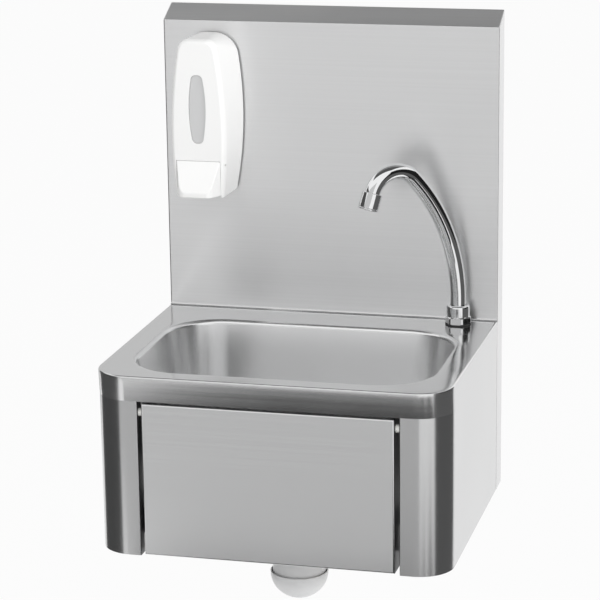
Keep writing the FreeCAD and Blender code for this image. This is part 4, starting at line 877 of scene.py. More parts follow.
@dataclass
class Shell:
    """Steel shell: top with bowl, splashback, sides and knee panel."""

    half: float = 0.200
    front: float = -0.340
    splash: float = -0.034
    deck: float = 0.120
    foot: float = -0.088
    sheet: float = 0.0012
    tuck: float = 0.0002
    through: float = 0.020
    corner: float = 0.040
    corner_steps: int = 14
    edge_round: float = 0.0022
    apron: float = 0.029
    apron_steps: int = 6
    crown: float = 0.0030
    crown_power: float = 1.2
    cove: float = 0.0025
    cove_steps: int = 6
    cove_inset: float = 0.0004
    tap: tuple[float, float] = (0.157, -0.054)
    tap_hole: float = 0.0105
    drain: tuple[float, float] = (0.0, -0.202)
    drain_hole: float = 0.021
    bowl_half: float = 0.170
    bowl_front: float = -0.313
    bowl_rear: float = -0.091
    bowl_corner: float = 0.062
    bowl_depth: float = 0.130
    bowl_draft: float = 8.0
    bowl_margin: float = 0.002
    floor_round: float = 0.0261
    rim_round: float = 0.0055
    ring: float = 0.010
    face_top: float = 0.466
    strip_top: float = 0.482
    flange: float = 0.040
    lip: float = 0.018
    back_bend: float = 0.0020
    plain_fold: float = 0.75
    sharp_fold: float = 0.35
    screw_x: float = 0.173
    screw_z: float = 0.060
    screw_hole: float = 0.00425
    screw_cut: float = 0.010
    opening: float = 0.1465
    side_lap: float = 0.0001
    post_lap: float = 0.0036
    post_corner: float = 0.039
    post_bend: float = 0.0016
    post_fold: float = 0.0174
    hinge: tuple[float, float] = (-0.3296, 0.077)
    pin_hole: float = 0.00305
    bush_hole: float = 0.0040
    panel_lap: float = 0.0018
    panel_depth: float = 0.0272
    panel_bend: float = 0.0018
    panel_gap: float = 0.005
    panel_top_gap: float = 0.0024
    panel_foot_gap: float = 0.002
    stop: float = 0.0214
    tab_length: float = 0.009
    tab_low: float = 0.020
    tab_high: float = 0.050
    tab_round: float = 0.004

    def build(self) -> None:
        """Make and hand over the five sheet pieces."""
        top = self.top()
        # Inner sides get the dark inside steel, which is painted shade.
        hand_over(top, Body.BASIN, "stainless", DECK_STEEL, "basin_deck", "basin_bowl", inside=SHADED_INSIDE_STEEL)
        self.dress_top(top)
        hand_over(self.splashback(), Body.BASIN, "stainless", SPLASH_STEEL, "back_panel", inside=SHADED_INSIDE_STEEL)
        for side, word in ((-1, "left"), (1, "right")):
            post = self.side(word, side)
            hand_over(post, Body.BASIN, "stainless", SIDE_STEEL, f"{word}_side_panel", inside=SHADED_INSIDE_STEEL)
            self.shade_gap_walls(post)
        tray = self.knee_panel()
        hand_over(tray, Body.PANEL, "stainless", PANEL_STEEL, "knee_panel", inside=SHADED_INSIDE_STEEL)
        self.shade_gap_walls(tray)

    def loop(self, name: str, half: float, front: float, rear: float, height: float, radius: float,
             chosen: Callable[[Vector], bool] = lambda spot: True) -> bpy.types.Object:
        """Level rectangle with rounded corners, as one face.

        Args:
            name: name of the piece.
            half: half of its width.
            front: its front edge along Y.
            rear: its rear edge along Y.
            height: where it lies along Z.
            radius: its corner radius.
            chosen: test of the corners that are rounded, at first all of them.

        Returns:
            The piece.
        """
        plate = sheet_at(name, (0.0, (front + rear) / 2, height), half * 2, rear - front)
        with Bench(plate) as bench:
            bench.pick(Kind.VERT, chosen).bevel(radius, self.corner_steps, corners=True)
        return plate

    def from_bowl(self, spot: Vector) -> float:
        """Distance of a spot from the bowl's opening, seen from above and negative inside."""
        return off_outline(spot, self.bowl_half, self.bowl_front, self.bowl_rear, self.bowl_corner)

    def on_rim(self, spot: Vector) -> bool:
        """Whether a spot lies on the bowl's opening."""
        return near(spot.z, self.deck) and abs(self.from_bowl(spot)) < ON_LINE

    def on_edge(self, spot: Vector) -> bool:
        """Whether a spot lies on the deck's outer edge."""
        gap = off_outline(spot, self.half, self.front, self.splash + self.corner, self.corner)
        return near(spot.z, self.deck) and (abs(gap) < ON_LINE or near(spot.y, self.splash))

    def between(self, spot: Vector) -> bool:
        """Whether a spot lies in the deck off both of its edges."""
        return near(spot.z, self.deck) and not self.on_edge(spot) and not self.on_rim(spot)

    def top(self) -> bpy.types.Object:
        """Deck with a rolled rim, apron and drawn bowl, as one sheet.

        Returns:
            The piece.
        """
        shrink = self.bowl_depth * math.tan(math.radians(self.bowl_draft))
        floor = self.deck - self.bowl_depth
        ring = self.ring
        top = self.loop("steel_top", self.half, self.front, self.splash, self.deck, self.corner,
                        lambda spot: spot.y < self.splash - self.corner)
        mouth = self.loop("mouth", self.bowl_half + ring, self.bowl_front - ring, self.bowl_rear + ring, self.deck,
                          self.bowl_corner + ring)
        for plate in (top, mouth):
            with Bench(plate) as bench:
                bench.all().inset(ring).delete("ONLY_FACE")
        base = self.loop("base", self.bowl_half - shrink, self.bowl_front + shrink, self.bowl_rear - shrink, floor,
                         self.bowl_corner - shrink)
        with Bench(base) as bench:
            bench.all().delete("ONLY_FACE")
        join(top, mouth, base)
        with Bench(top) as bench:
            bench.pick(Kind.EDGE, self.between, rim=True).fill()
            bench.pick(Kind.EDGE, lambda spot: near(spot.z, floor) or self.on_rim(spot), rim=True).bridge()
            bench.pick(Kind.EDGE, lambda spot: near(spot.z, floor)).close()
            bench.pick(Kind.EDGE, lambda spot: near(spot.z, floor)).bevel(self.floor_round, 12)
            bench.pick(Kind.EDGE, self.on_rim).bevel(self.rim_round, 5)
            bench.pick(Kind.EDGE, self.on_edge, rim=True)
            self.draw_apron(bench)
            bench.outward()
            bench.pick(Kind.EDGE, self.on_edge).bevel(self.edge_round, 4)
        thicken(top, self.sheet)
        for place, radius, level in ((self.tap, self.tap_hole, self.deck), (self.drain, self.drain_hole, floor)):
            drill(top, rod("hole", (*place, level - self.through), (*place, level + self.through), radius))
        join(top, self.upturn())
        shade(top)
        return top

    def draw_apron(self, bench: Bench) -> None:
        """Draw the chosen edge of the deck down, and in at the front by the crown.

        Args:
            bench: the deck, with its outer edge chosen.
        """
        shown = 0.0
        deep = self.splash - self.front
        for k in range(1, self.apron_steps + 1):
            share = (k / self.apron_steps) ** self.crown_power
            bench.extrude((0, 0, -self.apron / self.apron_steps))
            along = (deep - self.crown * share) / (deep - self.crown * shown)
            bench.scale((1, along, 1), (0, self.splash, 0))
            shown = share

    def upturn(self) -> bpy.types.Object:
        """Hollow bend by which the deck meets the splashback, as a strip.

        Returns:
            The strip.
        """
        bend, end = self.cove, self.half - self.cove_inset
        foot, back = self.deck - self.tuck, self.splash + self.tuck
        path = [Vector((-end, self.splash - bend, foot))]
        for k in range(self.cove_steps + 1):
            angle = QUARTER * k / self.cove_steps
            out, up = bend - bend * math.sin(angle), bend - bend * math.cos(angle)
            path.append(Vector((-end, self.splash - out, self.deck + up)))
        path += [Vector((-end, back, self.deck + bend)), Vector((-end, back, foot))]
        strip = line("upturn", path)
        with Bench(strip) as bench:
            bench.all().close()
            bench.all().extrude((end * 2, 0, 0))
            bench.outward()
        return strip

    def shade_gap_walls(self, piece: bpy.types.Object) -> None:
        """Paint the walls of the gaps beside the knee panel with the dark inside steel, as painted shade for the
        shadowed gaps.

        Args:
            piece: the sheet beside the gap.
        """
        inner, sideways = self.opening + 0.002, 0.7
        for face in piece.data.polygons:
            if abs(face.normal.x) > sideways and abs(face.center.x) < inner:
                face.material_index = Skin.INSIDE

    def dress_top(self, top: bpy.types.Object) -> None:
        """Give the apron's front, the bowl and the apron's sides their own finishes, whose lighter and darker steel
        colours are partly painted light and shade.

        Args:
            top: the basin's top, whose deck has its finish.
        """
        upright, square = 0.6, 0.97
        for finish in (APRON_STEEL, BOWL_STEEL, SIDE_STEEL):
            top.data.materials.append(finish.material())
        for face in top.data.polygons:
            if face.material_index != Skin.OUTSIDE:
                continue
            if self.from_bowl(face.center) < self.bowl_margin:
                face.material_index = Skin.BOWL
            elif abs(face.normal.z) < upright and face.center.z < self.deck:
                face.material_index = Skin.SIDE if abs(face.normal.x) > square else Skin.APRON

    def splashback(self) -> bpy.types.Object:
        """Face, inclined strip and returns of one folded sheet, with its folds on the wall.

        Returns:
            The piece.
        """
        half, splash, top, flange = self.half, self.splash, self.strip_top, self.flange
        apron_foot = self.deck - self.apron
        back = block("splashback", (-half, splash, self.foot), (half, 0.0, top))
        with Bench(back) as bench:
            bench.pick(Kind.VERT, lambda spot: near(spot.y, splash) and near(spot.z, top))
            bench.move((0, 0, self.face_top - top))
            bench.pick(Kind.FACE, lambda spot: near(spot.y, 0.0)).delete("FACE")
            bench.pick(Kind.FACE, lambda spot: near(spot.z, self.foot)).delete("FACE")
            bench.bisect((0, 0, apron_foot), (0, 0, 1))
            bench.pick(Kind.FACE, lambda spot: near(spot.y, splash) and spot.z < apron_foot + NEAR).delete("FACE")
            for side in (-1, 1):
                bench.pick(Kind.EDGE, lambda spot: near(spot.y, 0.0) and near(spot.x, side * half))
                bench.extrude((-side * flange, 0, 0))
                inner = side * (half - flange)
                bench.pick(Kind.VERT, lambda spot: near(spot.x, inner) and near(spot.z, top)).move((0, 0, -flange))
            bench.pick(Kind.EDGE, lambda spot: near(spot.y, 0.0) and near(spot.z, top), rim=True)
            bench.extrude((0, 0, -self.lip)).scale(((half - self.lip) / half, 1, 1), (0, 0, top))
            bench.outward()
        self.roll_folds(back)
        thicken(back, self.sheet)
        for x in (-self.screw_x, self.screw_x):
            for z in (-self.screw_z, self.screw_z):
                drill(back, rod("hole", (x, -self.screw_cut, z), (x, self.screw_cut, z), self.screw_hole, 24))
        shade(back)
        return back

    def fold_share(self, middle: Vector) -> float:
        """Part of the widest bend that a fold of the splashback gets; the face's right edge is the sharpest.

        Args:
            middle: middle of the fold.

        Returns:
            The share of the bend's width.
        """
        if near(middle.y, self.splash) and near(abs(middle.x), self.half):
            return 1.0 if middle.x < 0 else self.sharp_fold
        return self.plain_fold

    def roll_folds(self, back: bpy.types.Object) -> None:
        """Round the folds of the splashback while it is an open sheet.

        Args:
            back: the sheet.
        """
        folded = 0.2
        mesh = bmesh.new()
        mesh.from_mesh(back.data)
        weight = mesh.edges.layers.float.new("bevel_weight_edge")
        for edge in mesh.edges:
            if len(edge.link_faces) == 2 and edge.calc_face_angle() > folded:
                edge[weight] = self.fold_share((edge.verts[0].co + edge.verts[1].co) / 2)
        mesh.to_mesh(back.data)
        mesh.free()
        apply(back, "BEVEL", width=self.back_bend, segments=3, limit_method="WEIGHT")

    def side(self, word: str, side: int) -> bpy.types.Object:
        """Side wrapped round the front corner, with its fold beside the knee panel.

        Args:
            word: left or right, for its name.
            side: -1 for the left one and 1 for the right one.

        Returns:
            The piece.
        """
        out, radius = self.half - self.side_lap, self.post_corner
        face = self.front + self.post_lap
        rear, bend = self.splash - self.side_lap, face + radius
        top = self.deck - self.apron + self.tuck
        wall = fresh(
            f"{word}_side",
            bpy.ops.mesh.primitive_plane_add,
            size=1.0,
            location=(side * out, (rear + bend) / 2, (self.foot + top) / 2),
            rotation=(0.0, QUARTER, 0.0),
            scale=(top - self.foot, rear - bend, 1.0),
        )
        turn_x, fold = side * (out - radius), side * self.opening
        with Bench(wall) as bench:
            bench.pick(Kind.EDGE, lambda spot: near(spot.y, bend))
            bench.spin(-side * QUARTER, self.corner_steps, (turn_x, bend, 0), UP)
            bench.pick(Kind.EDGE, lambda spot: near(spot.y, face) and near(spot.x, turn_x))
            bench.extrude((fold - turn_x, 0, 0)).extrude((0, self.front + self.post_fold - face, 0))
            bench.outward()
            bench.pick(Kind.EDGE, lambda spot: near(spot.y, face) and near(spot.x, fold)).bevel(self.post_bend, 3)
        thicken(wall, self.sheet)
        inner, outer = side * (self.opening - self.panel_gap), side * (self.opening + self.panel_gap)
        drill(wall, rod("hole", (inner, *self.hinge), (outer, *self.hinge), self.bush_hole, 32))
        shade(wall)
        return wall

    def knee_panel(self) -> bpy.types.Object:
        """Folded tray with its stop tabs and pin holes.

        Returns:
            The piece.
        """
        half, face = self.opening - self.panel_gap, self.front + self.panel_lap
        low, high = self.foot + self.panel_foot_gap, self.deck - self.apron - self.panel_top_gap
        rear = face + self.panel_depth
        tray = block("knee_tray", (-half, face, low), (half, rear, high))
        with Bench(tray) as bench:
            bench.pick(Kind.FACE, lambda spot: near(spot.y, rear)).delete("FACE")
            bench.pick(Kind.EDGE, lambda spot: near(spot.y, face)).bevel(self.panel_bend, 4)
        thicken(tray, self.sheet)
        drill(tray, rod("hole", (-self.half, *self.hinge), (self.half, *self.hinge), self.pin_hole, 32))
        join(tray, *(self.stop_tab(side, half, low) for side in (-1, 1)))
        shade(tray)
        return tray

    def stop_tab(self, side: int, half: float, low: float) -> bpy.types.Object:
        """Tab that stands out behind a corner post, with two round corners.

        Args:
            side: -1 for the left one and 1 for the right one.
            half: half of the knee panel's width.
            low: the knee panel's foot along Z.

        Returns:
            The tab.
        """
        root, tip = side * (half - self.sheet), side * (half + self.tab_length)
        rear = self.front + self.stop
        tab = block("tab", (min(root, tip), rear - self.sheet, low + self.tab_low),
                    (max(root, tip), rear, low + self.tab_high))
        with Bench(tab) as bench:
            bench.pick(Kind.EDGE, lambda spot: near(spot.x, tip))
            bench.keep(lambda edge: abs(edge.verts[0].co.y - edge.verts[1].co.y) > self.sheet / 2)
            bench.bevel(self.tab_round, 5)
        return tab


@dataclass
class Spout:
    """Swan-neck spout, its union nut and its aerator."""

    x: float = 0.157
    y: float = -0.054
    deck: float = 0.120
    azimuth: float = 50.0
    tube: float = 0.009
    wall: float = 0.0015
    start: float = 0.0053
    rise: float = 0.030
    sweep: float = 0.220
    sweep_angle: float = 43.0
    crown: float = 0.031
    crown_angle: float = 119.0
    nose: float = 0.0065
    nut_neck: float = 0.0136
    nut_dome: float = 0.003
    nut_shoulder: float = 0.0205
    nut_flat: float = 0.0137
    nut_edge: float = 0.0004
    nut_collar: Outline = ((0.0123, 0.0015), (0.0142, 0.0015), (0.0150, 0.0023), (0.0150, 0.0088), (0.0136, 0.0102))
    nut_bore: Outline = ((0.0093, 0.0235), (0.0093, 0.0163), (0.0123, 0.0163), (0.0123, 0.0015))
    sleeve: Outline = (
        (0.00905, -0.0052), (0.0096, -0.0060), (0.0109, -0.0060), (0.0115, -0.0052), (0.0117, 0.0112),
        (0.0112, 0.0116), (0.0112, 0.0121), (0.0117, 0.0125), (0.0117, 0.0134), (0.0111, 0.0140),
        (0.0080, 0.0140), (0.0080, 0.0003), (0.00905, 0.0003), (0.00905, -0.0052),
    )
    sleeve_edge: float = 0.0003

    def build(self) -> None:
        """Make and hand over the chrome pieces."""
        hand_over(self.neck(), Body.SPOUT, "chrome", CHROME, "spout_tube")
        hand_over(self.union_nut(), Body.BASIN, "chrome", CHROME, "spout_union_nut")
        hand_over(self.aerator(), Body.SPOUT, "chrome", CHROME, "aerator_housing")

    def heading(self) -> Vector:
        """Level direction from the foot to the outlet."""
        angle = math.radians(self.azimuth)
        return Vector((-math.sin(angle), -math.cos(angle), 0.0))

    def along(self, degrees: float) -> Vector:
        """Direction of the tube after it has bent by an angle."""
        angle = math.radians(degrees)
        return self.heading() * math.sin(angle) + UP * math.cos(angle)

    def inward(self, degrees: float) -> Vector:
        """Direction from the tube to the bend's centre."""
        angle = math.radians(degrees)
        return self.heading() * math.cos(angle) - UP * math.sin(angle)

    def final(self) -> Vector:
        """Direction of the tube's nose."""
        return self.along(self.sweep_angle + self.crown_angle)

    def centres(self) -> tuple[Vector, Vector]:
        """Work out the centres of the two bends.

        Returns:
            The long bend's centre and the crown's.
        """
        foot = Vector((self.x, self.y, self.deck + self.rise))
        sweep_centre = foot + self.inward(0.0) * self.sweep
        return sweep_centre, sweep_centre + self.inward(self.sweep_angle) * (self.crown - self.sweep)

    def neck(self) -> bpy.types.Object:
        """Ring drawn up, round the two bends and out to the nose.

        Returns:
            The piece.
        """
        low = (self.x, self.y, self.deck + self.start)
        neck = fresh("swan_neck", bpy.ops.mesh.primitive_circle_add, vertices=44, radius=self.tube, location=low)
        axis = UP.cross(self.heading())
        sweep_centre, crown_centre = self.centres()
        with Bench(neck) as bench:
            bench.all().extrude((0, 0, self.rise - self.start))
            bench.spin(math.radians(self.sweep_angle), 30, sweep_centre, axis)
            bench.spin(math.radians(self.crown_angle), 34, crown_centre, axis)
            bench.extrude(self.final() * self.nose)
            bench.outward()
        thicken(neck, self.wall)
        shade(neck, 40)
        return neck

    def union_nut(self) -> bpy.types.Object:
        """Turned nut with six flats cut in its collar and a rounded top.

        Returns:
            The piece.
        """
        at, dome = Vector((self.x, self.y, self.deck)), self.nut_dome
        rounded = [(self.nut_neck - dome + dome * math.cos(angle), self.nut_shoulder + dome * math.sin(angle))
                   for angle in (math.radians(15 * k) for k in range(7))]
        nut = turned("union_nut", [*self.nut_collar, *rounded, *self.nut_bore], at, steps=96)
        with Bench(nut) as bench:
            for k in range(6):
                angle = math.radians(30 + 60 * k)
                normal = Vector((math.cos(angle), math.sin(angle), 0.0))
                bench.bisect(at + normal * self.nut_flat, normal, drop=True)
        soften(nut, self.nut_edge)
        return nut

    def aerator(self) -> bpy.types.Object:
        """Sleeve on the tube's nose with a groove near its end.

        Returns:
            The piece.
        """
        crown_end = self.centres()[1] - self.inward(self.sweep_angle + self.crown_angle) * self.crown
        sleeve = turned("aerator_sleeve", self.sleeve, crown_end + self.final() * self.nose, self.final(), steps=64)
        soften(sleeve, self.sleeve_edge)
        return sleeve


@dataclass
class Waste:
    """Strainer in the bowl and the bottle trap's cup below it."""

    y: float = -0.202
    floor: float = -0.010
    foot: float = -0.179
    strainer_outline: Outline = (
        (0.0, 0.0), (0.017, 0.0), (0.017, -0.009), (0.0195, -0.009), (0.0195, 0.0), (0.0325, 0.0),
        (0.0330, 0.0006), (0.0318, 0.0019), (0.0300, 0.0025), (0.0235, 0.0025), (0.0205, 0.0018),
        (0.0180, 0.0013), (0.0060, 0.0013), (0.0052, 0.0022), (0.0, 0.0025),
    )
    strainer_edge: float = 0.0003
    hole_circle: float = 0.0115
    hole_radius: float = 0.0044
    hole_low: float = 0.004
    hole_high: float = 0.006
    cup_radius: float = 0.0334
    cup_low: float = 0.0038
    cup_rim: float = 0.0350
    cup_top: float = 0.037
    lip: float = 0.0006
    lip_fall: float = 0.0004
    groove: float = 0.006
    cup_inside: Outline = ((0.0306, 0.0246), (0.0281, 0.0246), (0.0281, 0.0216), (0.0196, 0.0118), (0.0, 0.0056))

    def build(self) -> None:
        """Make and hand over the strainer and the trap's cup."""
        hand_over(self.strainer(), Body.BASIN, "stainless", FITTING_STEEL, "drain_flange")
        hand_over(self.cup(), Body.BASIN, "trap_white", TRAP_WHITE, "trap_cup")

    def strainer(self) -> bpy.types.Object:
        """Dished disc with six holes and a throat.

        Returns:
            The piece.
        """
        disc = turned("strainer", self.strainer_outline, (0.0, self.y, self.floor), steps=96)
        for k in range(6):
            angle = math.radians(60 * k)
            x, y = self.hole_circle * math.cos(angle), self.y + self.hole_circle * math.sin(angle)
            low, high = self.floor - self.hole_low, self.floor + self.hole_high
            drill(disc, rod("hole", (x, y, low), (x, y, high), self.hole_radius, 32))
        soften(disc, self.strainer_edge)
        return disc

    def cup(self) -> bpy.types.Object:
        """Round cup screwed on the trap's neck, with a groove round the neck.

        Returns:
            The piece.
        """
        radius, rim, top, lip = self.cup_radius, self.cup_rim, self.cup_top, self.lip
        bowl = [(radius * math.sin(angle), rim - (rim - self.cup_low) * math.cos(angle))
                for angle in (math.radians(6 * k) for k in range(16))]
        edge = [(radius, top - lip), (radius - lip, top), (radius - lip * 2, top - self.lip_fall)]
        groove = (self.cup_inside[0][0], top - self.groove)
        cup = turned("trap_bowl_cup", [*bowl, *edge, groove, *self.cup_inside], (0.0, self.y, self.foot), steps=96)
        shade(cup)
        return cup


@dataclass(frozen=True)
class Barrel:
    """Upright outline of the hood, with curved sides that run smoothly into round shoulders."""

    foot: float
    top: float
    height: float
    bulge: float
    shoulder: float
    side_steps: int = 14
    shoulder_steps: int = 10

    def points(self) -> Outline:
        """Work out the right half of the outline.

        Returns:
            Half widths and heights, from the foot to the middle of the top.
        """
        side, spread = self.height - self.shoulder, self.top - self.foot
        points = []
        for k in range(self.side_steps + 1):
            share = k / self.side_steps
            sag = share * (1 - share) * side * side / (2 * self.bulge)
            points.append((self.foot + spread * share + sag, side * share))
        lean = math.atan2(side / (2 * self.bulge) - spread / side, 1.0)
        radius = self.shoulder / (1 - math.sin(lean))
        middle = self.top - radius * math.cos(lean)
        for k in range(1, self.shoulder_steps + 1):
            angle = lean + (QUARTER - lean) * k / self.shoulder_steps
            points.append((middle + radius * math.cos(angle), self.height - radius + radius * math.sin(angle)))
        return points


@dataclass
class Dispenser:
    """Soap dispenser: cover, sight window and push button."""

    x: float = -0.142
    wall: float = -0.034
    foot: float = 0.268
    depth: float = 0.063
    skin: float = 0.0025
    wall_gap: float = 0.0040
    rear: Barrel = Barrel(foot=0.0295, top=0.034, height=0.185, bulge=0.460, shoulder=0.025)
    nose: Barrel = Barrel(foot=0.0285, top=0.0240, height=0.1846, bulge=0.540, shoulder=0.011)
    front_run: float = 0.0095
    front_steps: int = 8
    front_half: float = 0.030
    side_round: float = 0.0050
    top_round: float = 0.0045
    cover_edge: float = 0.0005
    crease: float = 50.0
    clear: float = 0.004
    mouth_half: float = 0.0266
    mouth_top: float = 0.0431
    mouth_in: float = 0.0100
    heel_half: float = 0.06
    heel_drop: float = 0.0045
    heel_radius: float = 0.0065
    slot_in: float = 0.006
    window_low: float = 0.0635
    window_high: float = 0.1435
    window_half: float = 0.0072
    window_corner: float = 0.006
    window_bulge: float = 0.190
    window_cuts: int = 15
    pane_gap: float = 0.0002
    pane_back: float = 0.0030
    pane_front: float = 0.0016
    pane_edge: float = 0.0003
    button_half: float = 0.0262
    button_foot_half: float = 0.0185
    button_low: float = 0.0025
    button_high: float = 0.0428
    button_edge: float = 0.006
    button_reach: float = 0.018
    button_skin: float = 0.0027
    button_corner: float = 0.0055
    button_round: float = 0.0011
    pin_in: float = 0.005
    pin_up: float = 0.038
    pin_half: float = 0.05
    pin_hole_radius: float = 0.0017
    ear_inner: float = 0.017
    ear_outer: float = 0.022
    ear_radius: float = 0.004
    web_in: float = 0.0015

    def build(self) -> None:
        """Make and hand over the three moulded pieces."""
        hand_over(self.cover(), Body.COVER, "white_gloss", GLOSS_WHITE, "dispenser_cover")
        hand_over(self.window(), Body.COVER, "window_grey", PANE, "sight_window")
        hand_over(self.button(), Body.BUTTON, "white_gloss", GLOSS_WHITE, "push_button")

    def spot(self, across: float, out: float, up: float) -> Vector:
        """A place given from the dispenser's foot on the splashback."""
        return Vector((self.x + across, self.wall - out, self.foot + up))

    def drawn(self, name: str, out: float, points: Outline) -> bpy.types.Object:
        """Open line from the left foot over the top to the right foot.

        Args:
            name: name of the piece.
            out: how far it stands from the splashback.
            points: right half of the outline.

        Returns:
            The line.
        """
        path = [self.spot(-half, out, up) for half, up in points]
        path += [self.spot(half, out, up) for half, up in reversed(points)]
        return line(name, path)

    def cover(self) -> bpy.types.Object:
        """Hood drawn forward from the wall outline, rounded in at the front, then cut.

        Returns:
            The piece.
        """
        face = self.depth
        hood = self.drawn("soap_hood", self.wall_gap, self.rear.points())
        join(hood, self.drawn("nose", face - self.front_run, self.nose.points()))
        with Bench(hood) as bench:
            bench.all().bridge()
            bench.pick(Kind.EDGE, lambda spot: near(spot.y, self.wall - face + self.front_run), rim=True)
            self.round_front(bench)
            bench.close()
            bench.outward()
            if self.faces_in(hood):
                bpy.ops.mesh.flip_normals()
        thicken(hood, self.skin)
        drill(
            hood,
            self.window_block("slot", 0.0, face - self.slot_in, face + self.clear),
            block("mouth", self.spot(-self.mouth_half, face + self.clear, -self.clear),
                  self.spot(self.mouth_half, face - self.mouth_in, self.mouth_top)),
            rod("heel", self.spot(-self.heel_half, 0.0, -self.heel_drop),
                self.spot(self.heel_half, 0.0, -self.heel_drop), self.heel_radius, 40),
        )
        soften(hood, self.cover_edge, 3, self.crease)
        drill(hood, self.pin_hole())
        shade(hood, self.crease)
        return hood

    def round_front(self, bench: Bench) -> None:
        """Draw the hood's front edge forward and in by a quarter round.

        Args:
            bench: the hood, with its front edge chosen.
        """
        shown, centre = (1.0, 1.0), self.spot(0.0, self.depth, 0.0)
        for k in range(1, self.front_steps + 1):
            before, angle = QUARTER * (k - 1) / self.front_steps, QUARTER * k / self.front_steps
            bench.extrude((0, -self.front_run * (math.sin(angle) - math.sin(before)), 0))
            drop = 1 - math.cos(angle)
            wanted = 1 - self.side_round * drop / self.front_half, 1 - self.top_round * drop / self.rear.height
            bench.scale((wanted[0] / shown[0], 1, wanted[1] / shown[1]), centre)
            shown = wanted

    def pin_hole(self) -> bpy.types.Object:
        """Cutter along the button's pin."""
        ends = (self.spot(x, self.depth - self.pin_in, self.pin_up) for x in (-self.pin_half, self.pin_half))
        return rod("pin_hole", *ends, self.pin_hole_radius, 24)

    def faces_in(self, hood: bpy.types.Object) -> bool:
        """Find out which way the front of an open hood faces.

        Args:
            hood: the hood, in edit mode.

        Returns:
            Whether it faces the wall.
        """
        mesh = bmesh.from_edit_mesh(hood.data)
        front = min(mesh.faces, key=lambda face: face.calc_center_median().y)
        return front.normal.y > 0

    def window_block(self, name: str, edge: float, near_out: float, far_out: float) -> bpy.types.Object:
        """Prism of the sight window's outline.

        Args:
            name: name of the piece.
            edge: how far the outline is moved in.
            near_out: distance of its rear from the splashback.
            far_out: distance of its front from the splashback.

        Returns:
            The prism.
        """
        low, high = self.window_low + edge, self.window_high - edge
        half, corner, bulge = self.window_half - edge, self.window_corner - edge, self.window_bulge - edge
        prism = fresh(
            name,
            bpy.ops.mesh.primitive_plane_add,
            size=1.0,
            location=self.spot(0.0, near_out, (low + high) / 2),
            rotation=(QUARTER, 0.0, 0.0),
            scale=(half * 2, high - low, 1.0),
        )
        with Bench(prism) as bench:
            bench.all().bevel(corner, 8, corners=True)
            first, last = self.foot + low + corner, self.foot + high - corner
            bench.pick(Kind.EDGE, lambda spot: first - ON_LINE < spot.z < last + ON_LINE)
            bpy.ops.mesh.subdivide(number_cuts=self.window_cuts)
            mesh = bmesh.from_edit_mesh(prism.data)
            levels = sorted({round(v.co.z, 6) for v in mesh.verts if first + ON_LINE < v.co.z < last - ON_LINE})
            centre = self.spot(0.0, near_out, 0.0)
            for level in levels:
                share = (level - first) / (last - first)
                sag = share * (1 - share) * (last - first) ** 2 / (2 * bulge)
                bench.pick(Kind.VERT, lambda spot: near(spot.z, level))
                bench.scale(((half + sag) / half, 1, 1), centre)
            bench.all().extrude((0, near_out - far_out, 0))
            bench.outward()
        return prism

    def window(self) -> bpy.types.Object:
        """Pane a little behind the cover's face.

        Returns:
            The piece.
        """
        pane = self.window_block("sight_pane", self.pane_gap, self.depth - self.pane_back,
                                 self.depth - self.pane_front)
        soften(pane, self.pane_edge, limit=self.crease)
        return pane

    def button(self) -> bpy.types.Object:
        """Wedge that stands out at its foot, with soft lower corners and ears for the pin.

        Returns:
            The piece.
        """
        face, half, low, high, edge = self.depth, self.button_half, self.button_low, self.button_high, self.button_edge
        wedge = block("soap_button", self.spot(-half, face + self.button_reach, low),
                      self.spot(half, face - self.button_skin, high))
        out, centre = self.wall - face - self.button_reach, self.spot(0, face, 0)
        with Bench(wedge) as bench:
            bench.bisect(tuple(centre), (0, 1, 0))
            bench.pick(Kind.VERT, lambda spot: near(spot.y, out))
            bench.scale((self.button_foot_half / half, 1, 1), centre)
            bench.pick(Kind.VERT, lambda spot: near(spot.y, out) and near(spot.z, self.foot + high))
            bench.move((0, 0, low + edge - high))
            bench.pick(Kind.EDGE, lambda spot: near(spot.y, out) and spot.z < self.foot + low + edge + NEAR)
            bench.keep(lambda side: abs(side.verts[0].co.z - side.verts[1].co.z) > edge / 2)
            bench.bevel(self.button_corner, 6)
        ears = [piece for side in (-1, 1) for piece in self.ear(side)]
        soften(wedge, self.button_round, 3, 25)
        join(wedge, *ears)
        shade(wedge, 40)
        return wedge

    def ear(self, side: int) -> tuple[bpy.types.Object, bpy.types.Object]:
        """Round ear on the button's pin and the web that carries it, both with the pin's hole.

        Args:
            side: -1 for the left one and 1 for the right one.

        Returns:
            The ear and its web.
        """
        left, right = sorted((side * self.ear_inner, side * self.ear_outer))
        out = self.depth - self.pin_in
        ear = rod("ear", self.spot(left, out, self.pin_up), self.spot(right, out, self.pin_up), self.ear_radius, 32)
        web = block("web", self.spot(left, self.depth - self.web_in, self.pin_up - self.ear_radius),
                    self.spot(right, out, self.pin_up + self.ear_radius))
        for piece in (ear, web):
            drill(piece, self.pin_hole())
        return ear, web


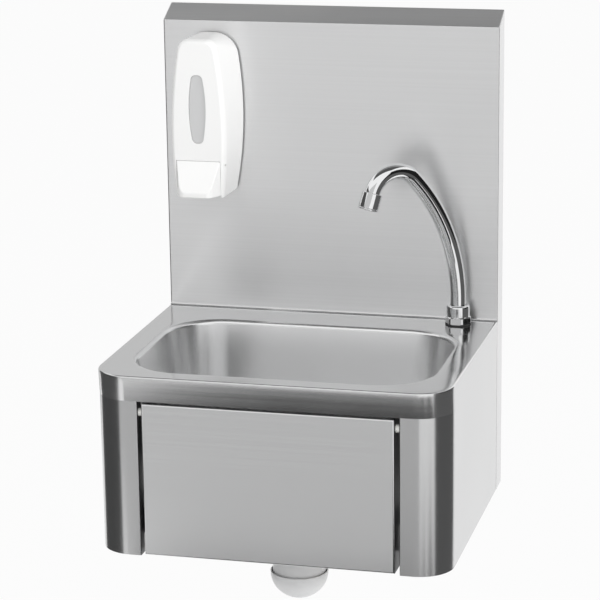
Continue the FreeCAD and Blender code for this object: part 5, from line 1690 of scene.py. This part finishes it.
@dataclass
class Fittings:
    """Small pieces whose solids are kept in shape, with their edges eased."""

    ease: float = 0.0004
    flat: float = 0.4
    crease: float = 32.0

    def build(self, frame: dict) -> None:
        """Ease the edges of a copy of each small solid and hand it over.
        """
        slots = {part["node"]: part["material_slot"] for part in frame["record"]["subparts"]}
        bodies = {node: body for body, nodes in frame["record"]["behaviour"]["bodies"].items() for node in nodes}
        shown = {name for name, node in frame["nodes"].items() if not node.hide_render}
        for node in sorted(shown & set(slots)):
            finish = SLOT_FINISHES[slots[node]]
            piece = self.eased(frame["nodes"][node], f"{node}_eased")
            hand_over(piece, Body(bodies[node]), slots[node], finish, node)
        self.spring(frame["record"]["behaviour"]["joints"])

    def spring(self, joints: list[dict]) -> None:
        """Give each spring that a joint squeezes a mesh of its own.

        Args:
            joints: the record's joints, which name the springs.
        """
        for joint in joints:
            for part in joint.get("deforming_nodes", []):
                piece = bpy.data.objects[f"{part['node']}_eased"]
                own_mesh(piece)

    def eased(self, source: bpy.types.Object, name: str) -> bpy.types.Object:
        """Copy of a solid with merged corners, plain faces and eased edges.

        Args:
            source: the solid's node.
            name: name of the piece.

        Returns:
            The piece.
        """
        piece = bpy.data.objects.new(name, source.data.copy())
        bpy.context.scene.collection.objects.link(piece)
        choose_only(piece)
        bpy.ops.mesh.customdata_custom_splitnormals_clear()
        with Bench(piece) as bench:
            bench.all()
            bpy.ops.mesh.remove_doubles(threshold=DOUBLES)
            bpy.ops.mesh.dissolve_limited(angle_limit=math.radians(self.flat))
        soften(piece, self.ease, limit=self.crease)
        return piece


@dataclass(frozen=True)
class Viewpoint:
    """Where the photograph was taken from."""

    place: Place = (0.67059, -2.79067, 0.88157)
    azimuth: float = 14.4233
    elevation: float = 14.7300
    roll: float = -0.76005
    lens: float = 147.966

    def build(self) -> None:
        """Add the camera and make it the scene's own."""
        a, e, r = (math.radians(angle) for angle in (self.azimuth, self.elevation, self.roll))
        back = Vector((math.sin(a) * math.cos(e), -math.cos(a) * math.cos(e), math.sin(e)))
        level = Vector((math.cos(a), math.sin(a), 0.0))
        upright = back.cross(level)
        across = level * math.cos(r) + upright * math.sin(r)
        above = upright * math.cos(r) - level * math.sin(r)
        turn = Matrix((across, above, back)).transposed().to_4x4()
        bpy.ops.object.select_all(action="DESELECT")
        bpy.ops.object.camera_add()
        camera = bpy.context.active_object
        camera.name = "photo_view"
        camera.matrix_world = Matrix.Translation(Vector(self.place)) @ turn
        camera.data.sensor_width = 36.0
        camera.data.lens = self.lens
        camera.data.clip_end = 100.0
        bpy.context.scene.camera = camera


@dataclass(frozen=True)
class Card:
    """A studio card that only reflections see."""

    name: str
    centre: Place
    facing: Place
    size: tuple[float, float]
    grey: float

    def build(self) -> None:
        """Add the card and hide it from the camera, from diffuse light and from shadows."""
        turn = Vector(self.facing).to_track_quat("Z", "Y").to_euler()
        card = fresh(self.name, bpy.ops.mesh.primitive_plane_add, size=1.0, location=self.centre, rotation=turn,
                     scale=(*self.size, 1.0))
        paint = bpy.data.materials.new(self.name)
        paint.use_nodes = True
        board = Board(paint.node_tree)
        glow = board.node("ShaderNodeEmission", {"Color": (self.grey, self.grey, self.grey, 1.0)})
        board.node("ShaderNodeOutputMaterial", {"Surface": glow.outputs[0]})
        card.data.materials.append(paint)
        card.visible_camera = False
        card.visible_diffuse = False
        card.visible_shadow = False


@dataclass(frozen=True)
class Lamp:
    """A square soft lamp aimed at the object, which reflections don't see."""

    name: str
    place: Place
    size: float
    power: float
    aim: Place = (0.0, -0.2, 0.1)

    def build(self) -> None:
        """Add the lamp."""
        bpy.ops.object.select_all(action="DESELECT")
        bpy.ops.object.light_add(type="AREA", location=self.place)
        lamp = bpy.context.active_object
        lamp.name = self.name
        lamp.data.shape = "SQUARE"
        lamp.data.size = self.size
        lamp.data.energy = self.power
        lamp.visible_glossy = False
        aim = Vector(self.aim) - Vector(self.place)
        lamp.rotation_euler = aim.to_track_quat("-Z", "Y").to_euler()


@dataclass(frozen=True)
class Studio:
    """White surroundings, a pale floor, soft lamps and cards for the metal."""

    fill: float = 0.62
    floor: float = -1.0
    floor_size: float = 24.0
    floor_grey: float = 0.82
    floor_white: float = 0.93
    lamps: tuple[Lamp, ...] = (
        Lamp("key", (1.3, -2.7, 1.9), 2.0, 40.0),
        Lamp("right_fill", (2.4, -0.7, 0.8), 1.6, 34.0),
        Lamp("left_fill", (-1.8, -2.0, 0.9), 1.6, 10.0),
    )
    cards: tuple[Card, ...] = (
        Card("card_left", (-1.5, -0.75, -0.05), (1, 0, 0), (2.6, 1.9), 0.08),
        Card("card_right", (1.5, 0.475, -0.45), (-1, 0, 0), (3.05, 1.1), 0.11),
        Card("card_right_high", (1.5, 0.475, 0.6), (-1, 0, 0), (3.05, 1.0), 0.015),
        Card("card_high", (-0.6, -2.72, 1.05), (0, 1, 0), (3.2, 1.1), 0.62),
        Card("card_front", (-0.8, -2.7, -0.635), (0, 1, 0), (2.8, 0.71), 0.57),
        Card("card_floor", (0.25, -1.575, -0.99), (0, 0, 1), (2.2, 1.95), 0.03),
        Card("card_floor_right", (1.725, -1.4, -0.99), (0, 0, 1), (0.75, 1.6), 0.03),
        Card("card_top", (0.0, 1.2, 2.0), (0, 0, -1), (3.0, 2.2), 0.28),
        Card("card_ceiling", (0.0, -0.45, 2.0), (0, 0, -1), (3.0, 1.1), 0.10),
        Card("card_back", (-0.85, 0.55, 0.4), (0, -1, 0), (1.3, 1.4), 0.62),
    )

    def build(self) -> None:
        """Set the world, the floor, the lamps and the cards."""
        bpy.context.scene.view_settings.view_transform = "Standard"
        self.surroundings()
        self.ground()
        for thing in (*self.lamps, *self.cards):
            thing.build()

    def seen(self, board: Board) -> bpy.types.NodeSocket:
        """Whether the camera, a reflection or a clear pane looks.

        Args:
            board: nodes of the floor or the world.

        Returns:
            A socket that is 1 where one of them looks.
        """
        path = board.node("ShaderNodeLightPath")
        glossy = board.math("MAXIMUM", path.outputs["Is Glossy Ray"], path.outputs["Is Transmission Ray"])
        return board.math("MAXIMUM", path.outputs["Is Camera Ray"], glossy)

    def surroundings(self) -> None:
        """White where it is seen, and a plain fill elsewhere."""
        world = bpy.data.worlds.new("studio")
        world.use_nodes = True
        bpy.context.scene.world = world
        board = Board(world.node_tree)
        fill = board.node("ShaderNodeBackground", {"Color": WHITE, "Strength": self.fill})
        white = board.node("ShaderNodeBackground", {"Color": WHITE, "Strength": 1.0})
        mix = board.node("ShaderNodeMixShader", {0: self.seen(board), 1: fill.outputs[0], 2: white.outputs[0]})
        board.node("ShaderNodeOutputWorld", {"Surface": mix.outputs[0]})

    def ground(self) -> None:
        """Pale floor that keeps a soft shadow."""
        floor = sheet_at("floor", (0.0, 0.0, self.floor), self.floor_size, self.floor_size)
        paint = bpy.data.materials.new("pale_floor")
        paint.use_nodes = True
        board = Board(paint.node_tree)
        grey = self.floor_grey
        coat = board.node("ShaderNodeBsdfDiffuse", {"Color": (grey, grey, grey, 1.0)})
        white = board.node("ShaderNodeEmission", {"Color": WHITE})
        share = board.math("MULTIPLY", self.seen(board), self.floor_white)
        mix = board.node("ShaderNodeMixShader", {0: share, 1: coat.outputs[0], 2: white.outputs[0]})
        board.node("ShaderNodeOutputMaterial", {"Surface": mix.outputs[0]})
        floor.data.materials.append(paint)


def main() -> None:
    """Build the scene in order."""
    logging.basicConfig(level=logging.INFO, format="%(name)s: %(message)s")
    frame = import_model()
    Viewpoint().build()
    Studio().build()
    for assembly in (Shell(), Spout(), Waste(), Dispenser()):
        assembly.build()
        log.info("%s done", type(assembly).__name__)
    Fittings().build(frame)


if __name__ == "__main__":
    main()
